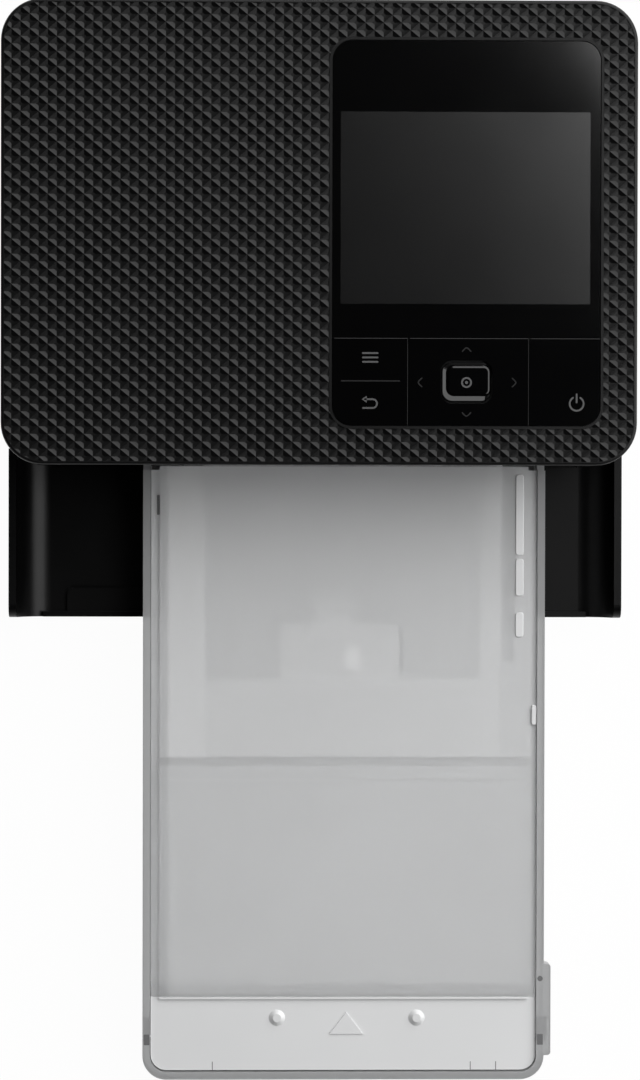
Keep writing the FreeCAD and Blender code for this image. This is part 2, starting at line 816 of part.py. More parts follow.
def top_cover():
    wide, deep = (-half_width, half_width), (front_y, back_y)
    shell = slab(wide, deep, (seam_z + seam_gap, body_height), corner_radius, corner_radius)
    top_edges = [edge for edge in shell.Edges
                 if all(abs(vertex.Z - body_height) < running_fit for vertex in edge.Vertexes)]
    shell = shell.makeFillet(top_edge_radius, top_edges)
    inner = corner_radius - top_wall
    hollow = slab(inset(wide, top_wall), inset(deep, top_wall), (seam_z, skin_z), inner, inner)
    field_radius = corner_radius - rim_width
    field = slab(inset(wide, rim_width), inset(deep, rim_width), (field_z, body_height + overrun),
                 field_radius, field_radius)
    field = field.cut(slab(*panel_outline(rim_width), (seam_z, body_height + overrun + overrun),
                           panel_radius + rim_width, panel_radius + rim_width))
    pocket = slab(*panel_outline(key_gap), (glass_bottom, body_height + overrun),
                  panel_radius + key_gap, panel_radius + key_gap)
    x, y = panel_outline(key_gap)
    key_pocket = slab(x, (y[0], key_back_y + key_gap),
                      (glass_bottom - key_pocket_drop, body_height + overrun), panel_radius + key_gap, 0)
    keys_window = block(inset((panel_left, panel_right), panel_seat), (panel_front_y + panel_seat,
                        key_back_y - panel_seat), (seam_z, body_height))
    window_x, window_y = screen_outline()
    screen_window = block(stretched(window_x, clearance), stretched(window_y, clearance),
                          (seam_z, body_height))
    posts = []
    board = key_board_outline()
    for x in inset(board[0], board_margin):
        for y in inset(board[1], board_margin):
            posts.append(rod_z((skin_z - key_board_gap, skin_z), (x, y), board_margin))
    bosses = [rod_z((seam_z, skin_z), place, boss_radius) for place in boss_places()]
    shell = shell.cut(Part.makeCompound([hollow, field]))
    shell = joined([shell] + posts + bosses)
    holes = [rod_z((seam_z - overrun, skin_z), place, screw_radius + running_fit) for place in boss_places()]
    return shell.cut(Part.makeCompound([pocket, key_pocket, keys_window, screen_window] + holes))


def panel_outline(grow):
    return stretched((panel_left, panel_right), grow), stretched((panel_front_y, panel_back_y), grow)


def screen_outline():
    return stretched(screen_x, screen_border), stretched(screen_y, screen_border)


def key_board_outline():
    return stretched((panel_left, panel_right), board_margin), stretched(key_row(), board_margin)


def panel_glass():
    return slab((panel_left, panel_right), (key_back_y + key_gap, panel_back_y), (glass_bottom, glass_top),
                0, panel_radius)


def key_row():
    return (panel_front_y, key_back_y)


def left_key_x():
    return (panel_left, panel_left + left_key_width)


def nav_key_x():
    return (left_key_x()[1] + key_gap, panel_right - right_key_width - key_gap)


def right_key_x():
    return (panel_right - right_key_width, panel_right)


def key_middle_y():
    return (panel_front_y + key_back_y) / 2


def leg(x, y):
    return rod_z((key_mat_z()[1] + key_leg_gap, glass_bottom), (x, y), key_leg_radius)


def key_board_z():
    top = skin_z - key_board_gap
    return (top - board_thickness, top)


def key_mat_z():
    top = key_board_z()[1]
    return (top, top + dome_height)


def rounded_on_one_side(x, y, z, radius, side_x):
    shape = block(x, y, z)
    return shape.makeFillet(radius, upright_edges(shape, (side_x,), y[:1]))


def menu_back_key():
    # A rocker that turns about an X axis through its middle
    x = left_key_x()
    key = rounded_on_one_side(x, key_row(), (glass_bottom, glass_top), panel_radius, x[0])
    middle = (x[0] + x[1]) / 2
    legs = [leg(middle, y) for y in inset(key_row(), key_row_length / 4)]
    pivot = rod_x((x[0] + running_fit, x[1]), (key_middle_y(), glass_bottom), rocker_radius)
    return joined([key, pivot] + legs)


def navigation_key():
    x = nav_key_x()
    key = block(x, key_row(), (glass_bottom, glass_top))
    middle = (x[0] + x[1]) / 2
    hole = slab(*ok_outline(ok_gap), (glass_bottom - overrun, glass_top + overrun),
                ok_radius + ok_gap, ok_radius + ok_gap)
    legs = [leg(place, key_middle_y()) for place in inset(x, key_leg_inset)]
    legs += [leg(middle, y) for y in inset(key_row(), key_leg_inset)]
    return joined([key.cut(hole)] + legs)


def navigation_pivot():
    # The thin ring that the four-way key rocks on
    outer = slab(*ok_outline(board_margin), pivot_z(), ok_radius, ok_radius)
    x, y = ok_outline(board_margin + pivot_stub_length)
    middle_x, middle_z = (nav_key_x()[0] + nav_key_x()[1]) / 2, (pivot_z()[0] + pivot_z()[1]) / 2
    stubs = [rod_x(x, (key_middle_y(), middle_z), pivot_ring_thickness / 2),
             rod_y(y, (middle_x, middle_z), pivot_ring_thickness / 2)]
    hole = slab(*ok_outline(ok_gap), stretched(pivot_z(), overrun), ok_radius, ok_radius)
    return joined([outer] + stubs).cut(hole)


def pivot_z():
    top = glass_bottom - pivot_ring_rise
    return (top - pivot_ring_thickness, top)


def ok_outline(grow):
    x = nav_key_x()
    middle = (x[0] + x[1]) / 2 + ok_offset
    return stretched(around(middle, ok_width), grow), stretched(around(key_middle_y(), ok_length), grow)


def ok_key():
    radius = ok_radius - ok_gap / 2
    cap = slab(*ok_outline(-ok_gap / 2), (glass_bottom, glass_top), radius, radius)
    x, y = ok_outline(0)
    return cap.fuse(leg((x[0] + x[1]) / 2, (y[0] + y[1]) / 2)).removeSplitter()


def power_key():
    x = right_key_x()
    key = rounded_on_one_side(x, key_row(), (glass_bottom, glass_top), panel_radius, x[1])
    return key.fuse(leg((x[0] + x[1]) / 2, key_middle_y())).removeSplitter()


def key_board():
    # The board with a domed contact under each key's leg
    x, y = key_board_outline()
    board = block(x, y, key_board_z())
    nav = nav_key_x()
    middle = (nav[0] + nav[1]) / 2
    rocker_x = (left_key_x()[0] + left_key_x()[1]) / 2
    places = [(rocker_x, place) for place in inset(key_row(), key_row_length / 4)]
    places += [(place, key_middle_y()) for place in inset(nav, key_leg_inset)]
    places += [(middle, place) for place in inset(key_row(), key_leg_inset)]
    ok_x, ok_y = ok_outline(0)
    places.append(((ok_x[0] + ok_x[1]) / 2, (ok_y[0] + ok_y[1]) / 2))
    places.append(((right_key_x()[0] + right_key_x()[1]) / 2, key_middle_y()))
    domes = []
    for place in places:
        low, high = key_mat_z()
        domes.append(Part.makeCone(dome_radius, key_leg_radius, high - low,
                                   FreeCAD.Vector(place[0], place[1], low), FreeCAD.Vector(0, 0, 1)))
    notches = [rod_z(stretched(key_board_z(), overrun), place, boss_radius + clearance)
               for place in boss_places()]
    return joined([board] + domes).cut(Part.makeCompound(notches))


def screen_module():
    x, y = screen_outline()
    return block(x, y, (glass_bottom - screen_thickness, glass_bottom))


def main_board():
    x, y = board_x(), board_y()
    top = main_board_z + main_board_thickness
    board = block(x, y, (main_board_z, top))
    chip_y = (card_y()[1] + card_depth / 2, card_y()[1] + card_depth)
    chip = block(inset(x, main_board_width / 4), chip_y, (top, top + main_board_thickness))
    cap_at = (x[1] - inlet_size / 2, y[1] - inlet_length * 2)
    cap = rod_z((top, top + inlet_length), cap_at, inlet_size / 2 - clearance)
    return Part.makeCompound([board, chip, cap])


def power_inlet():
    place = inlet_place()
    x, z = around(place[0], inlet_size), around(place[1], inlet_size)
    y = (back_y - case_wall - inlet_length, back_y - case_wall)
    body = block(x, y, z)
    socket = rod_y((y[0] + case_wall, y[1] + overrun), place, inlet_bore)
    centre = rod_y((y[0] + overrun, y[1] - overrun), place, inlet_pin)
    return body.cut(socket).fuse(centre).removeSplitter()


def card_slot():
    low = main_board_z + main_board_thickness
    x = (-half_width + case_wall, -half_width + case_wall + card_depth)
    shell = block(x, card_y(), (low, low + card_height))
    mouth = block((x[0] - overrun, x[1] - card_shell * 2), inset(card_y(), card_shell), card_mouth_z())
    return shell.cut(mouth)


def base_plate():
    plate = block((plate_left[0], plate_right[1]), chassis_y, (base_z, plate_z))
    return plate


def side_plate(x, window):
    # A steel side plate with the holes that carry the shafts
    shape = block(x, chassis_y, (plate_z, chassis_top))
    through = stretched(x, overrun)
    cuts = [rod_x(through, place, bush_radius + running_fit) for place in (platen_at, capstan_at)]
    cuts.append(rod_x(through, pinch_at, pinch_shaft_radius + running_fit))
    cuts.append(rod_x(through, pickup_at, pickup_shaft_radius + running_fit))
    cuts.append(rod_x(through, head_pivot, head_pivot_radius + running_fit))
    return shape.cut(Part.makeCompound(cuts + window))


def chassis_left():
    through = stretched(plate_left, overrun)
    holes = [rod_x(through, take_up_at, dog_radius + running_fit),
             rod_x(through, feed_pinion_at, motor_shaft_radius * 2)]
    return side_plate(plate_left, holes)


def chassis_right():
    # The ribbon case passes through a notch that is open at the top
    y = (take_up_at[0] - ribbon_housing - ribbon_side_gap, supply_at[0] + ribbon_housing + ribbon_side_gap)
    notch = block(stretched(plate_right, overrun), y,
                  (paper_z - film_thickness, chassis_top + overrun))
    return side_plate(plate_right, [notch])


def gear_plate():
    y = (chassis_y[0], capstan_at[0])
    plate = block(gear_plate_x, y, (plate_z, chassis_top))
    through = stretched(gear_plate_x, overrun)
    cuts = [rod_x(through, ribbon_pinion_at, motor_shaft_radius * 2)]
    foot = block((gear_plate_x[0], plate_left[0]), inset(y, rail_width), (base_z, plate_z))
    return plate.cut(Part.makeCompound(cuts)).fuse(foot).removeSplitter()


def gear_axles():
    # Fixed studs between the side plate and the gear plate
    return Part.makeCompound([rod_x((gear_plate_x[1], plate_left[0]), place, axle_radius)
                              for place in (idler_at, rear_pick_at, front_pick_at)])


def cassette_guides():
    y = (chassis_y[0], front_y + cassette_insert + rail_side)
    guides = []
    for edge, side in ((inside_x[0], 1), (inside_x[1], -1)):
        floor = block(sorted((edge, edge + side * rail_width)), y, (plate_z, cassette_z - clearance))
        wall = block(sorted((edge, edge + side * rail_side)), y, (plate_z, cassette_z + inserted_height))
        stop = block(sorted((edge, edge + side * rail_width)), (y[1] - rail_side + clearance, y[1]),
                     (plate_z, cassette_z + inserted_end_height))
        guides.append(joined([floor, wall, stop]))
    return Part.makeCompound(guides)


def exit_guide():
    # The sheet over the pick-up roller that leads prints out of the mouth
    start, level = front_y + exit_front, exit_level
    knee = start + exit_top_length
    end = knee + exit_slope_length
    points = [(start, level), (knee, level), (end, level - exit_slope_drop),
              (end, level - exit_slope_drop - guide_thickness), (knee, level - guide_thickness),
              (start, level - guide_thickness)]
    return prism_x(inside_x, points)


def rear_guide():
    y = (front_y + rear_guide_start, back_y - case_wall - clearance)
    z = around(paper_z - rear_guide_drop, guide_thickness)
    sheet = block(inside_x, (y[0], chassis_y[1]), z)
    tail = block(inset(rear_panel_x(), rear_panel_side), y, z)
    return sheet.fuse(tail).removeSplitter()


def roller_bushes():
    bushes = []
    for place in (platen_at, capstan_at):
        for plate, inward in ((plate_left, plate_left[1]), (plate_right, plate_right[0] - bush_flange)):
            sleeve = rod_x(plate, place, bush_radius)
            flange = rod_x((inward, inward + bush_flange), place, bush_flange_radius)
            bore = rod_x(stretched(plate, overrun), place, shaft_radius + running_fit)
            bushes.append(sleeve.fuse(flange).removeSplitter().cut(bore))
    return Part.makeCompound(bushes)


def platen_shaft():
    return rod_x((gear_x[0], plate_right[1] + clearance), platen_at, shaft_radius)


def platen_rubber():
    bore = rod_x(stretched(roller_x, overrun), platen_at, shaft_radius)
    return rod_x(roller_x, platen_at, platen_radius).cut(bore)


def capstan_roller():
    shaft = rod_x((gear_x[0], plate_right[1] + clearance), capstan_at, shaft_radius)
    return shaft.fuse(rod_x(roller_x, capstan_at, capstan_radius)).removeSplitter()


def pinch_roller():
    shaft = rod_x((plate_left[0], plate_right[1]), pinch_at, pinch_shaft_radius)
    width = paper_width / (2 * pinch_count)
    rollers = []
    for index in range(pinch_count):
        middle = cassette_middle + (index - (pinch_count - 1) / 2) * paper_width / pinch_count
        rollers.append(rod_x(around(middle, width), pinch_at, pinch_radius))
    return joined([shaft] + rollers)


def pickup_shaft():
    return rod_x((gear_x[0], plate_right[1] + clearance), pickup_at, pickup_shaft_radius)


def pickup_tyre():
    x = around(cassette_middle, pickup_tyre_width)
    bore = rod_x(stretched(x, overrun), pickup_at, pickup_shaft_radius)
    return rod_x(x, pickup_at, pickup_radius).cut(bore)


def feed_motor():
    x = (plate_left[1], plate_left[1] + motor_length)
    body = rod_x(x, feed_pinion_at, motor_radius)
    return body.cut(rod_x((x[0] - overrun, x[0] + motor_length / 2), feed_pinion_at,
                          motor_shaft_radius + running_fit))


def feed_pinion():
    wheel = gear(gear_x, feed_pinion_at, pinion_teeth, feed_pinion_phase, 0.5 * motor_shaft_radius)
    shaft = rod_x((gear_x[0], plate_left[1] + motor_length / 4), feed_pinion_at, motor_shaft_radius)
    return wheel.fuse(shaft).removeSplitter()


def ribbon_motor():
    x = (gear_plate_x[0] - ribbon_motor_length, gear_plate_x[0])
    body = rod_x(x, ribbon_pinion_at, ribbon_motor_radius)
    return body.cut(rod_x((x[1] - ribbon_motor_length / 2, x[1] + overrun), ribbon_pinion_at,
                          motor_shaft_radius + running_fit))


def ribbon_pinion():
    wheel = gear(ribbon_gear_x, ribbon_pinion_at, pinion_teeth, ribbon_pinion_phase, 0.5 * motor_shaft_radius)
    shaft = rod_x((gear_plate_x[0] - ribbon_motor_length / 4, ribbon_gear_x[1]), ribbon_pinion_at,
                  motor_shaft_radius)
    return wheel.fuse(shaft).removeSplitter()


def take_up_gear():
    # The gear, its shaft through the side plate and the flat tongue that turns the take-up spool
    wheel = gear(ribbon_gear_x, take_up_at, take_up_teeth, 0, dog_radius / 2)
    tip = ribbon_x()[0] + ribbon_end_wall
    shaft = rod_x((ribbon_gear_x[0], ribbon_x()[0] - clearance), take_up_at, dog_radius)
    tongue = block((ribbon_x()[0] - overrun, tip + ribbon_end_wall), around(take_up_at[0], spool_bore),
                   around(take_up_at[1], tongue_height))
    return joined([wheel, shaft, tongue])


def ribbon_x():
    return (inside_x[0] + ribbon_end_gap, inside_x[1] - ribbon_side_gap)


def spool_x():
    return inset(ribbon_x(), ribbon_end_wall + clearance)


def ribbon_case():
    # Two round housings, open along their lower inner sides, joined by a bar at each end
    x = ribbon_x()
    film_z = paper_z + film_rise
    parts, cuts = [], []
    for place, toward in ((take_up_at, 1), (supply_at, -1)):
        parts.append(rod_x(x, place, ribbon_housing))
        cuts.append(rod_x(inset(x, ribbon_end_wall), place, ribbon_housing - ribbon_wall))
        slot_y = sorted((place[0] - toward * ribbon_slot / 4, place[0] + toward * ribbon_slot))
        cuts.append(block(inset(x, ribbon_end_wall), slot_y, (film_z - overrun, place[1])))
        cuts.append(rod_x((x[0] - overrun, x[1] - ribbon_end_wall / 2), place, spool_bore + running_fit))
    for end in ((x[0], x[0] + ribbon_end_wall), (x[1] - ribbon_end_wall, x[1])):
        parts.append(block(end, (take_up_at[0], supply_at[0]), (bar_bottom, bar_bottom + bar_height)))
    grip_y = around((take_up_at[0] + supply_at[0]) / 2, ribbon_housing * 2)
    parts.append(block((x[1], x[1] + ribbon_grip), grip_y, (bar_bottom, bar_bottom + bar_height)))
    return joined(parts).cut(Part.makeCompound(cuts))


def ribbon_film():
    x = inset(spool_x(), ribbon_end_wall + clearance)
    low = paper_z + film_rise
    return block(x, (take_up_at[0] + spool_core, supply_at[0] - spool_core), (low, low + film_thickness))


def spool(place, roll):
    # A core with end flanges, and stub ends that turn in the case's end walls
    x = spool_x()
    stubs = rod_x(stretched(x, ribbon_end_wall / 2), place, spool_bore)
    core = rod_x(x, place, spool_core)
    wound = rod_x(inset(x, ribbon_end_wall), place, roll)
    return joined([stubs, core, wound])


def supply_spool():
    return spool(supply_at, supply_roll)


def take_up_spool():
    slot = block((spool_x()[0] - ribbon_end_wall, ribbon_x()[0] + 2 * ribbon_end_wall + clearance),
                 around(take_up_at[0], spool_bore + 2 * clearance),
                 around(take_up_at[1], tongue_height + 2 * clearance))
    return spool(take_up_at, take_up_roll).cut(slot)


def thermal_head():
    # The heat sink block with the raised heating line along its underside
    top = bracket_z()[0]
    y = around(front_y + head_setback, head_length)
    low = paper_z + head_clear + head_strip_height
    body = block(roller_x, y, (low, top))
    strip = block(roller_x, around(platen_at[0], head_strip_length), (low - head_strip_height, low))
    slots = []
    for index in range(fin_count):
        middle = y[0] + (index + 1) * head_length / (fin_count + 1)
        slots.append(block(inset(roller_x, head_length), around(middle, fin_gap / 2), (top - fin_depth, top)))
    return body.fuse(strip).removeSplitter().cut(Part.makeCompound(slots))


def bracket_z():
    low = ribbon_z + ribbon_housing + bracket_gap
    return (low, low + bracket_thickness)


def head_bracket():
    x = stretched(roller_x, bracket_side - chassis_side_gap)
    low, high = bracket_z()
    sheet = block(x, (platen_at[0] - head_length / 2, head_pivot[0]), (low, high))
    parts = [sheet]
    for end in ((x[0], x[0] + bracket_thickness), (x[1] - bracket_thickness, x[1])):
        arm_y = (head_pivot[0] - arm_length + head_pivot_radius * 2, head_pivot[0] + head_pivot_radius * 2)
        parts.append(block(end, (arm_y[0], head_pivot[0]), (head_pivot[1] - head_pivot_radius * 1.5, high)))
        parts.append(rod_x(end, head_pivot, head_pivot_radius * 2))
    bore = rod_x(stretched(x, overrun), head_pivot, head_pivot_radius + running_fit)
    return joined(parts).cut(bore)


def head_shaft():
    return rod_x((plate_left[0], plate_right[1]), head_pivot, head_pivot_radius)


def head_spring():
    # A leaf that stands on the shaft's rear stay and presses the bracket
    high = bracket_z()[1]
    y = (head_pivot[0] - spring_length / 2, head_pivot[0] + spring_length / 6)
    x = around(cassette_middle, spring_width)
    back = y[1] + spring_thickness
    leaf = block(x, (y[0], back), (high + clearance, high + clearance + spring_thickness))
    tail = block(x, (y[1], back), (head_pivot[1] - head_pivot_radius, high + clearance))
    foot = block(x, (head_pivot[0] + head_pivot_radius, back), around(head_pivot[1], spring_thickness))
    return joined([leaf, tail, foot])


def release_lever():
    x = (plate_right[1] + clearance, plate_right[1] + clearance + lever_thickness)
    y = (front_y + lever_setback, front_y + lever_setback + lever_length)
    arm = block(x, y, (lever_z, lever_z + lever_height))
    top = lever_z + lever_height
    pad = block((x[0], x[1] + lever_length), y, (top - lever_thickness, top))
    return arm.fuse(pad).removeSplitter()


def cassette_tray():
    wide = (cassette_left, cassette_right)
    front_end = front_y - cassette_front_gap
    outer = slab(wide, (cassette_end_y, front_end), (cassette_z, cassette_top), cassette_corner, 0)
    inner = cassette_corner - cassette_wall
    hollow = slab(inset(wide, cassette_wall), (cassette_end_y + cassette_wall, front_end + overrun),
                  (tray_floor_z, cassette_top + overrun), inner, 0)
    tail_y = (front_end, front_y + cassette_insert)
    tail = block(wide, tail_y, (cassette_z, cassette_z + inserted_height))
    tail_hollow = block(inset(wide, cassette_wall), (tail_y[0] - overrun, tail_y[1] - cassette_wall),
                        (tray_floor_z, cassette_top + overrun))
    low_end = block(inset(wide, cassette_wall), (tail_y[1] - cassette_wall - overrun, tail_y[1] + overrun),
                    (cassette_z + inserted_end_height, cassette_top + overrun))
    tray = outer.fuse(tail).cut(Part.makeCompound([hollow, tail_hollow, low_end]))
    parts = [tray]
    shelf_top = lid_z()[0] - clearance / 2
    for x in ((wide[0], wide[0] + cassette_wall + lid_shelf_width),
              (wide[1] - cassette_wall - lid_shelf_width, wide[1])):
        parts.append(block(inset(x, cassette_wall / 2), (lid_end_y + lid_lug_length, front_end),
                           (shelf_top - lid_shelf_thickness, shelf_top)))
    stop_y = cassette_end_y + stop_wall_inset
    parts.append(block(inset(wide, cassette_wall / 2), around(stop_y, stop_wall_thickness),
                       (cassette_z + cassette_floor / 2, tray_floor_z + stop_wall_height)))
    ear_y = (cassette_end_y + ear_inset, cassette_end_y + ear_inset + ear_length)
    parts.append(slab((wide[1] - cassette_wall / 2, wide[1] + ear_width), ear_y,
                      (cassette_top - ear_height, cassette_top), ear_width / 2, ear_width / 2))
    rib_left = wide[1] - cassette_wall - guide_rib_side
    rib_x = (rib_left, rib_left + guide_rib_width)
    for start, end in zip(guide_rib_starts, guide_rib_ends):
        parts.append(block(rib_x, (front_y - end, front_y - start),
                           (cassette_z + cassette_floor / 2, tray_floor_z + guide_rib_height - clearance)))
    hinge_x = inner_hinge_x()
    for arm_x in ((wide[0] + cassette_wall / 2, hinge_x[0]), (hinge_x[1], wide[1] - cassette_wall / 2)):
        parts.append(block(arm_x, around(inner_hinge_at()[0], inner_arm_width), inner_lid_z()))
    for boss_x in ((hinge_x[0] - cassette_wall, hinge_x[0]), (hinge_x[1], hinge_x[1] + cassette_wall)):
        parts.append(rod_x(boss_x, inner_hinge_at(), inner_hinge_radius * 2))
    lift_x = lift_plate_x()
    for x in ((lift_x[0] - cassette_wall, lift_x[0] - clearance),
              (lift_x[1] + clearance, lift_x[1] + cassette_wall)):
        parts.append(block(x, around(lift_axis()[0], lift_hinge_radius * 4),
                           (cassette_z + cassette_floor / 2, lift_axis()[1] + lift_hinge_radius * 2)))
    tray = joined(parts)
    cuts = []
    slot_y = (lid_axis()[0], lid_axis()[0] + lid_travel)
    for x in (stretched((wide[0], wide[0] + cassette_wall), overrun),
              stretched((wide[1] - cassette_wall, wide[1]), overrun)):
        slot = block(x, slot_y, around(lid_axis()[1], 2 * (lid_pin_radius + running_fit)))
        ends = [rod_x(x, (y, lid_axis()[1]), lid_pin_radius + running_fit) for y in slot_y]
        cuts.append(joined([slot] + ends))
    cuts.append(rod_x(stretched(inner_hinge_x(), cassette_wall + overrun), inner_hinge_at(),
                      inner_hinge_radius + running_fit))
    cuts.append(rod_x(stretched(lift_plate_x(), cassette_wall + overrun), lift_axis(),
                      lift_hinge_radius + running_fit))
    return tray.cut(Part.makeCompound(cuts))


def lid_z():
    low = cassette_top - lid_shelf_drop
    return (low, low + lid_thickness)


def lid_axis():
    return (cassette_end_y + lid_axis_inset, lid_z()[0] - lid_pin_drop + lid_thickness)


def lid_x():
    return inset((cassette_left, cassette_right), cassette_wall + lid_side_gap)


def outer_lid():
    # A thin lid with a raised middle, a solid outer end, an arrow and two stops
    x = lid_x()
    low, high = lid_z()
    end_y = cassette_end_y + cassette_wall + lid_tail_gap
    back = front_y - lid_back_gap
    sheet = slab(x, (end_y, front_y - cassette_front_gap), (low, high), lid_corner, 0)
    raised_x = inset(x, lid_shelf_width + lid_side_gap)
    raised = block(raised_x, (lid_end_y, back), (low, high + lid_raise))
    under = block(inset(raised_x, lid_thickness), (lid_end_y + lid_thickness, back + overrun),
                  (low - overrun, high + lid_raise - lid_thickness))
    end_block = slab(inset(x, lid_lug_width), (end_y + lid_thickness, lid_end_y),
                     (low - lid_end_thickness, high), lid_corner - lid_thickness, 0)
    band = block(inset(raised_x, lid_thickness), around(front_y - lid_band_reach, lid_band_width),
                 (low - lid_band_depth, high))
    lugs = []
    for ends in ((x[0], x[0] + lid_lug_width), (x[1] - lid_lug_width, x[1])):
        lugs.append(block(ends, around(lid_axis()[0], lid_lug_length),
                          (lid_axis()[1] - lid_pin_radius * 2, high)))
    arrow_x, tip_y = cassette_middle + triangle_offset, lid_end_y - triangle_gap
    arrow = prism_z((high, high + triangle_height), [
        (arrow_x, tip_y),
        (arrow_x - triangle_half_width, tip_y - triangle_length),
        (arrow_x + triangle_half_width, tip_y - triangle_length)])
    bumps = [stop_bump(cassette_middle + offset) for offset in bump_offsets]
    shell = joined([sheet, raised]).cut(under)
    lid = joined([shell, end_block, band, arrow] + lugs + bumps)
    holes = [rod_x(stretched(ends, overrun), lid_axis(), lid_pin_radius + running_fit)
             for ends in ((x[0], x[0] + lid_lug_width), (x[1] - lid_lug_width, x[1]))]
    return lid.cut(Part.makeCompound(holes))


def prism_z(z, points):
    corners = [FreeCAD.Vector(x, y, z[0]) for x, y in points]
    face = Part.Face(Part.makePolygon(corners + corners[:1]))
    return face.extrude(FreeCAD.Vector(0, 0, z[1] - z[0]))


def stop_bump(x):
    high = lid_z()[1]
    return Part.makeCone(bump_radius, bump_radius / 2, bump_height,
                         FreeCAD.Vector(x, lid_end_y - bump_gap, high), FreeCAD.Vector(0, 0, 1))


def lid_pins():
    x = lid_x()
    ends = ((cassette_left + running_fit, x[0] + lid_lug_width),
            (x[1] - lid_lug_width, cassette_right - running_fit))
    return Part.makeCompound([rod_x(span, lid_axis(), lid_pin_radius) for span in ends])


def inner_lid_z():
    high = lid_z()[1] + lid_raise - lid_thickness - inner_lid_gap
    return (high - inner_lid_thickness, high)


def inner_hinge_at():
    low, high = inner_lid_z()
    return (front_y - inner_hinge_reach, (low + high) / 2)


def inner_hinge_x():
    return stretched(inner_lid_x, clearance)


def inner_lid():
    x, y = inner_lid_x, (front_y - inner_lid_reach, front_y - inner_lid_start)
    plate = slab(x, y, inner_lid_z(), cover_edge_radius / 2, 0)
    through = stretched(inner_lid_z(), overrun)
    notch = block(notch_x, (y[0] - overrun, y[0] + notch_length), through)
    tab_x = (notch_x[0] + notch_x[1]) / 2 + tab_offset
    tab = rod_z(through, (tab_x, front_y - tab_reach - tab_radius), tab_radius)
    plate = plate.cut(notch.fuse(tab))
    knuckle = rod_x(x, inner_hinge_at(), inner_hinge_radius * 1.5)
    pin = rod_x(stretched(x, cassette_wall), inner_hinge_at(), inner_hinge_radius)
    return joined([plate, knuckle, pin])


def lift_plate_x():
    return inset((cassette_left, cassette_right), lift_plate_side)


def lift_axis():
    return (front_y - lift_plate_reach, tray_floor_z + lift_hinge_height)


def lift_plate():
    # The plate that lifts the paper to the pick-up roller, drawn in its raised place
    x = lift_plate_x()
    end_y = front_y + cassette_insert - cassette_wall - lift_plate_end
    axis = lift_axis()
    plate = block(x, (axis[0], end_y), around(axis[1], lift_plate_thickness))
    plate = plate.fuse(rod_x(x, axis, lift_hinge_radius * 1.5)).removeSplitter()
    pin = rod_x(stretched(x, cassette_wall / 2), axis, lift_hinge_radius)
    plate = plate.fuse(pin).removeSplitter()
    plate.rotate(FreeCAD.Vector(0, axis[0], axis[1]), FreeCAD.Vector(1, 0, 0), lift_angle)
    return plate


def platen_gear():
    return gear(gear_x, platen_at, platen_teeth, platen_phase, shaft_radius)


def capstan_gear():
    return gear(gear_x, capstan_at, capstan_teeth, capstan_phase, shaft_radius)


def pickup_gear():
    return gear(gear_x, pickup_at, pickup_teeth, pickup_phase, pickup_shaft_radius)


def feed_idler():
    return gear(gear_x, idler_at, idler_teeth, idler_phase, axle_radius + running_fit)


def rear_pick_idler():
    return gear(gear_x, rear_pick_at, rear_pick_teeth, rear_pick_phase, axle_radius + running_fit)


def front_pick_idler():
    return gear(gear_x, front_pick_at, front_pick_teeth, front_pick_phase, axle_radius + running_fit)


pieces = (
    lower_case, rubber_feet, case_screws, top_cover, front_cover, cover_hinge_pins, ink_door, ink_door_pins,
    rear_panel, panel_glass, menu_back_key, navigation_pivot, navigation_key, ok_key, power_key, key_board,
    screen_module, main_board, power_inlet, card_slot, base_plate, chassis_left, chassis_right, gear_plate,
    gear_axles, cassette_guides, exit_guide, rear_guide, roller_bushes, platen_shaft, platen_rubber,
    platen_gear, capstan_roller, capstan_gear, pinch_roller, pickup_shaft, pickup_tyre, pickup_gear,
    feed_motor, feed_pinion, feed_idler, rear_pick_idler, front_pick_idler, ribbon_motor, ribbon_pinion,
    take_up_gear, ribbon_case, ribbon_film, supply_spool, take_up_spool, release_lever, thermal_head,
    head_bracket, head_shaft, head_spring, cassette_tray, lift_plate, inner_lid, outer_lid, lid_pins,
)
for piece in pieces:
    shape = piece()
    if not shape.isValid():
        print("not valid:", piece.__name__)
    print(piece.__name__, len(shape.Solids), round(shape.Volume))
    shape.exportStep("parts/" + piece.__name__ + ".step")
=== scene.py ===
"""The looks of the compact photo printer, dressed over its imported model."""
import logging
import math
from dataclasses import dataclass, field
from enum import Enum

import bmesh
import bpy
from mathutils import Matrix, Vector


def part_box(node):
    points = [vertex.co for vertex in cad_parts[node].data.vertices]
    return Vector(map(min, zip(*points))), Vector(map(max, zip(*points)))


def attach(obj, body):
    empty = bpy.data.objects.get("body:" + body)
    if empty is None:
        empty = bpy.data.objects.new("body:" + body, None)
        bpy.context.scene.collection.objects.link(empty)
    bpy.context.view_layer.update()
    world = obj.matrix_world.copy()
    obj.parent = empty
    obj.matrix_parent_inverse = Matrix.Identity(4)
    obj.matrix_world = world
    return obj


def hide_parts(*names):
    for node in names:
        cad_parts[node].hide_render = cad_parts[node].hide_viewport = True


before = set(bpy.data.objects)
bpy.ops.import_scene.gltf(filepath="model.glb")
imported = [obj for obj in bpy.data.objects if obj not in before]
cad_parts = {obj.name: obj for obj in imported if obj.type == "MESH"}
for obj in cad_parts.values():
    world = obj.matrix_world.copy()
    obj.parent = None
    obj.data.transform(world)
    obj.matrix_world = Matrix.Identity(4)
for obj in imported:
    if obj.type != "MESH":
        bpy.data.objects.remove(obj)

MM = 0.001
TOUCHING = 0.0001 * MM
Colour = tuple[float, float, float]
Point = tuple[float, float]
Span = tuple[float, float]
WHITE: Colour = (1.0, 1.0, 1.0)
log = logging.getLogger("photo_printer")


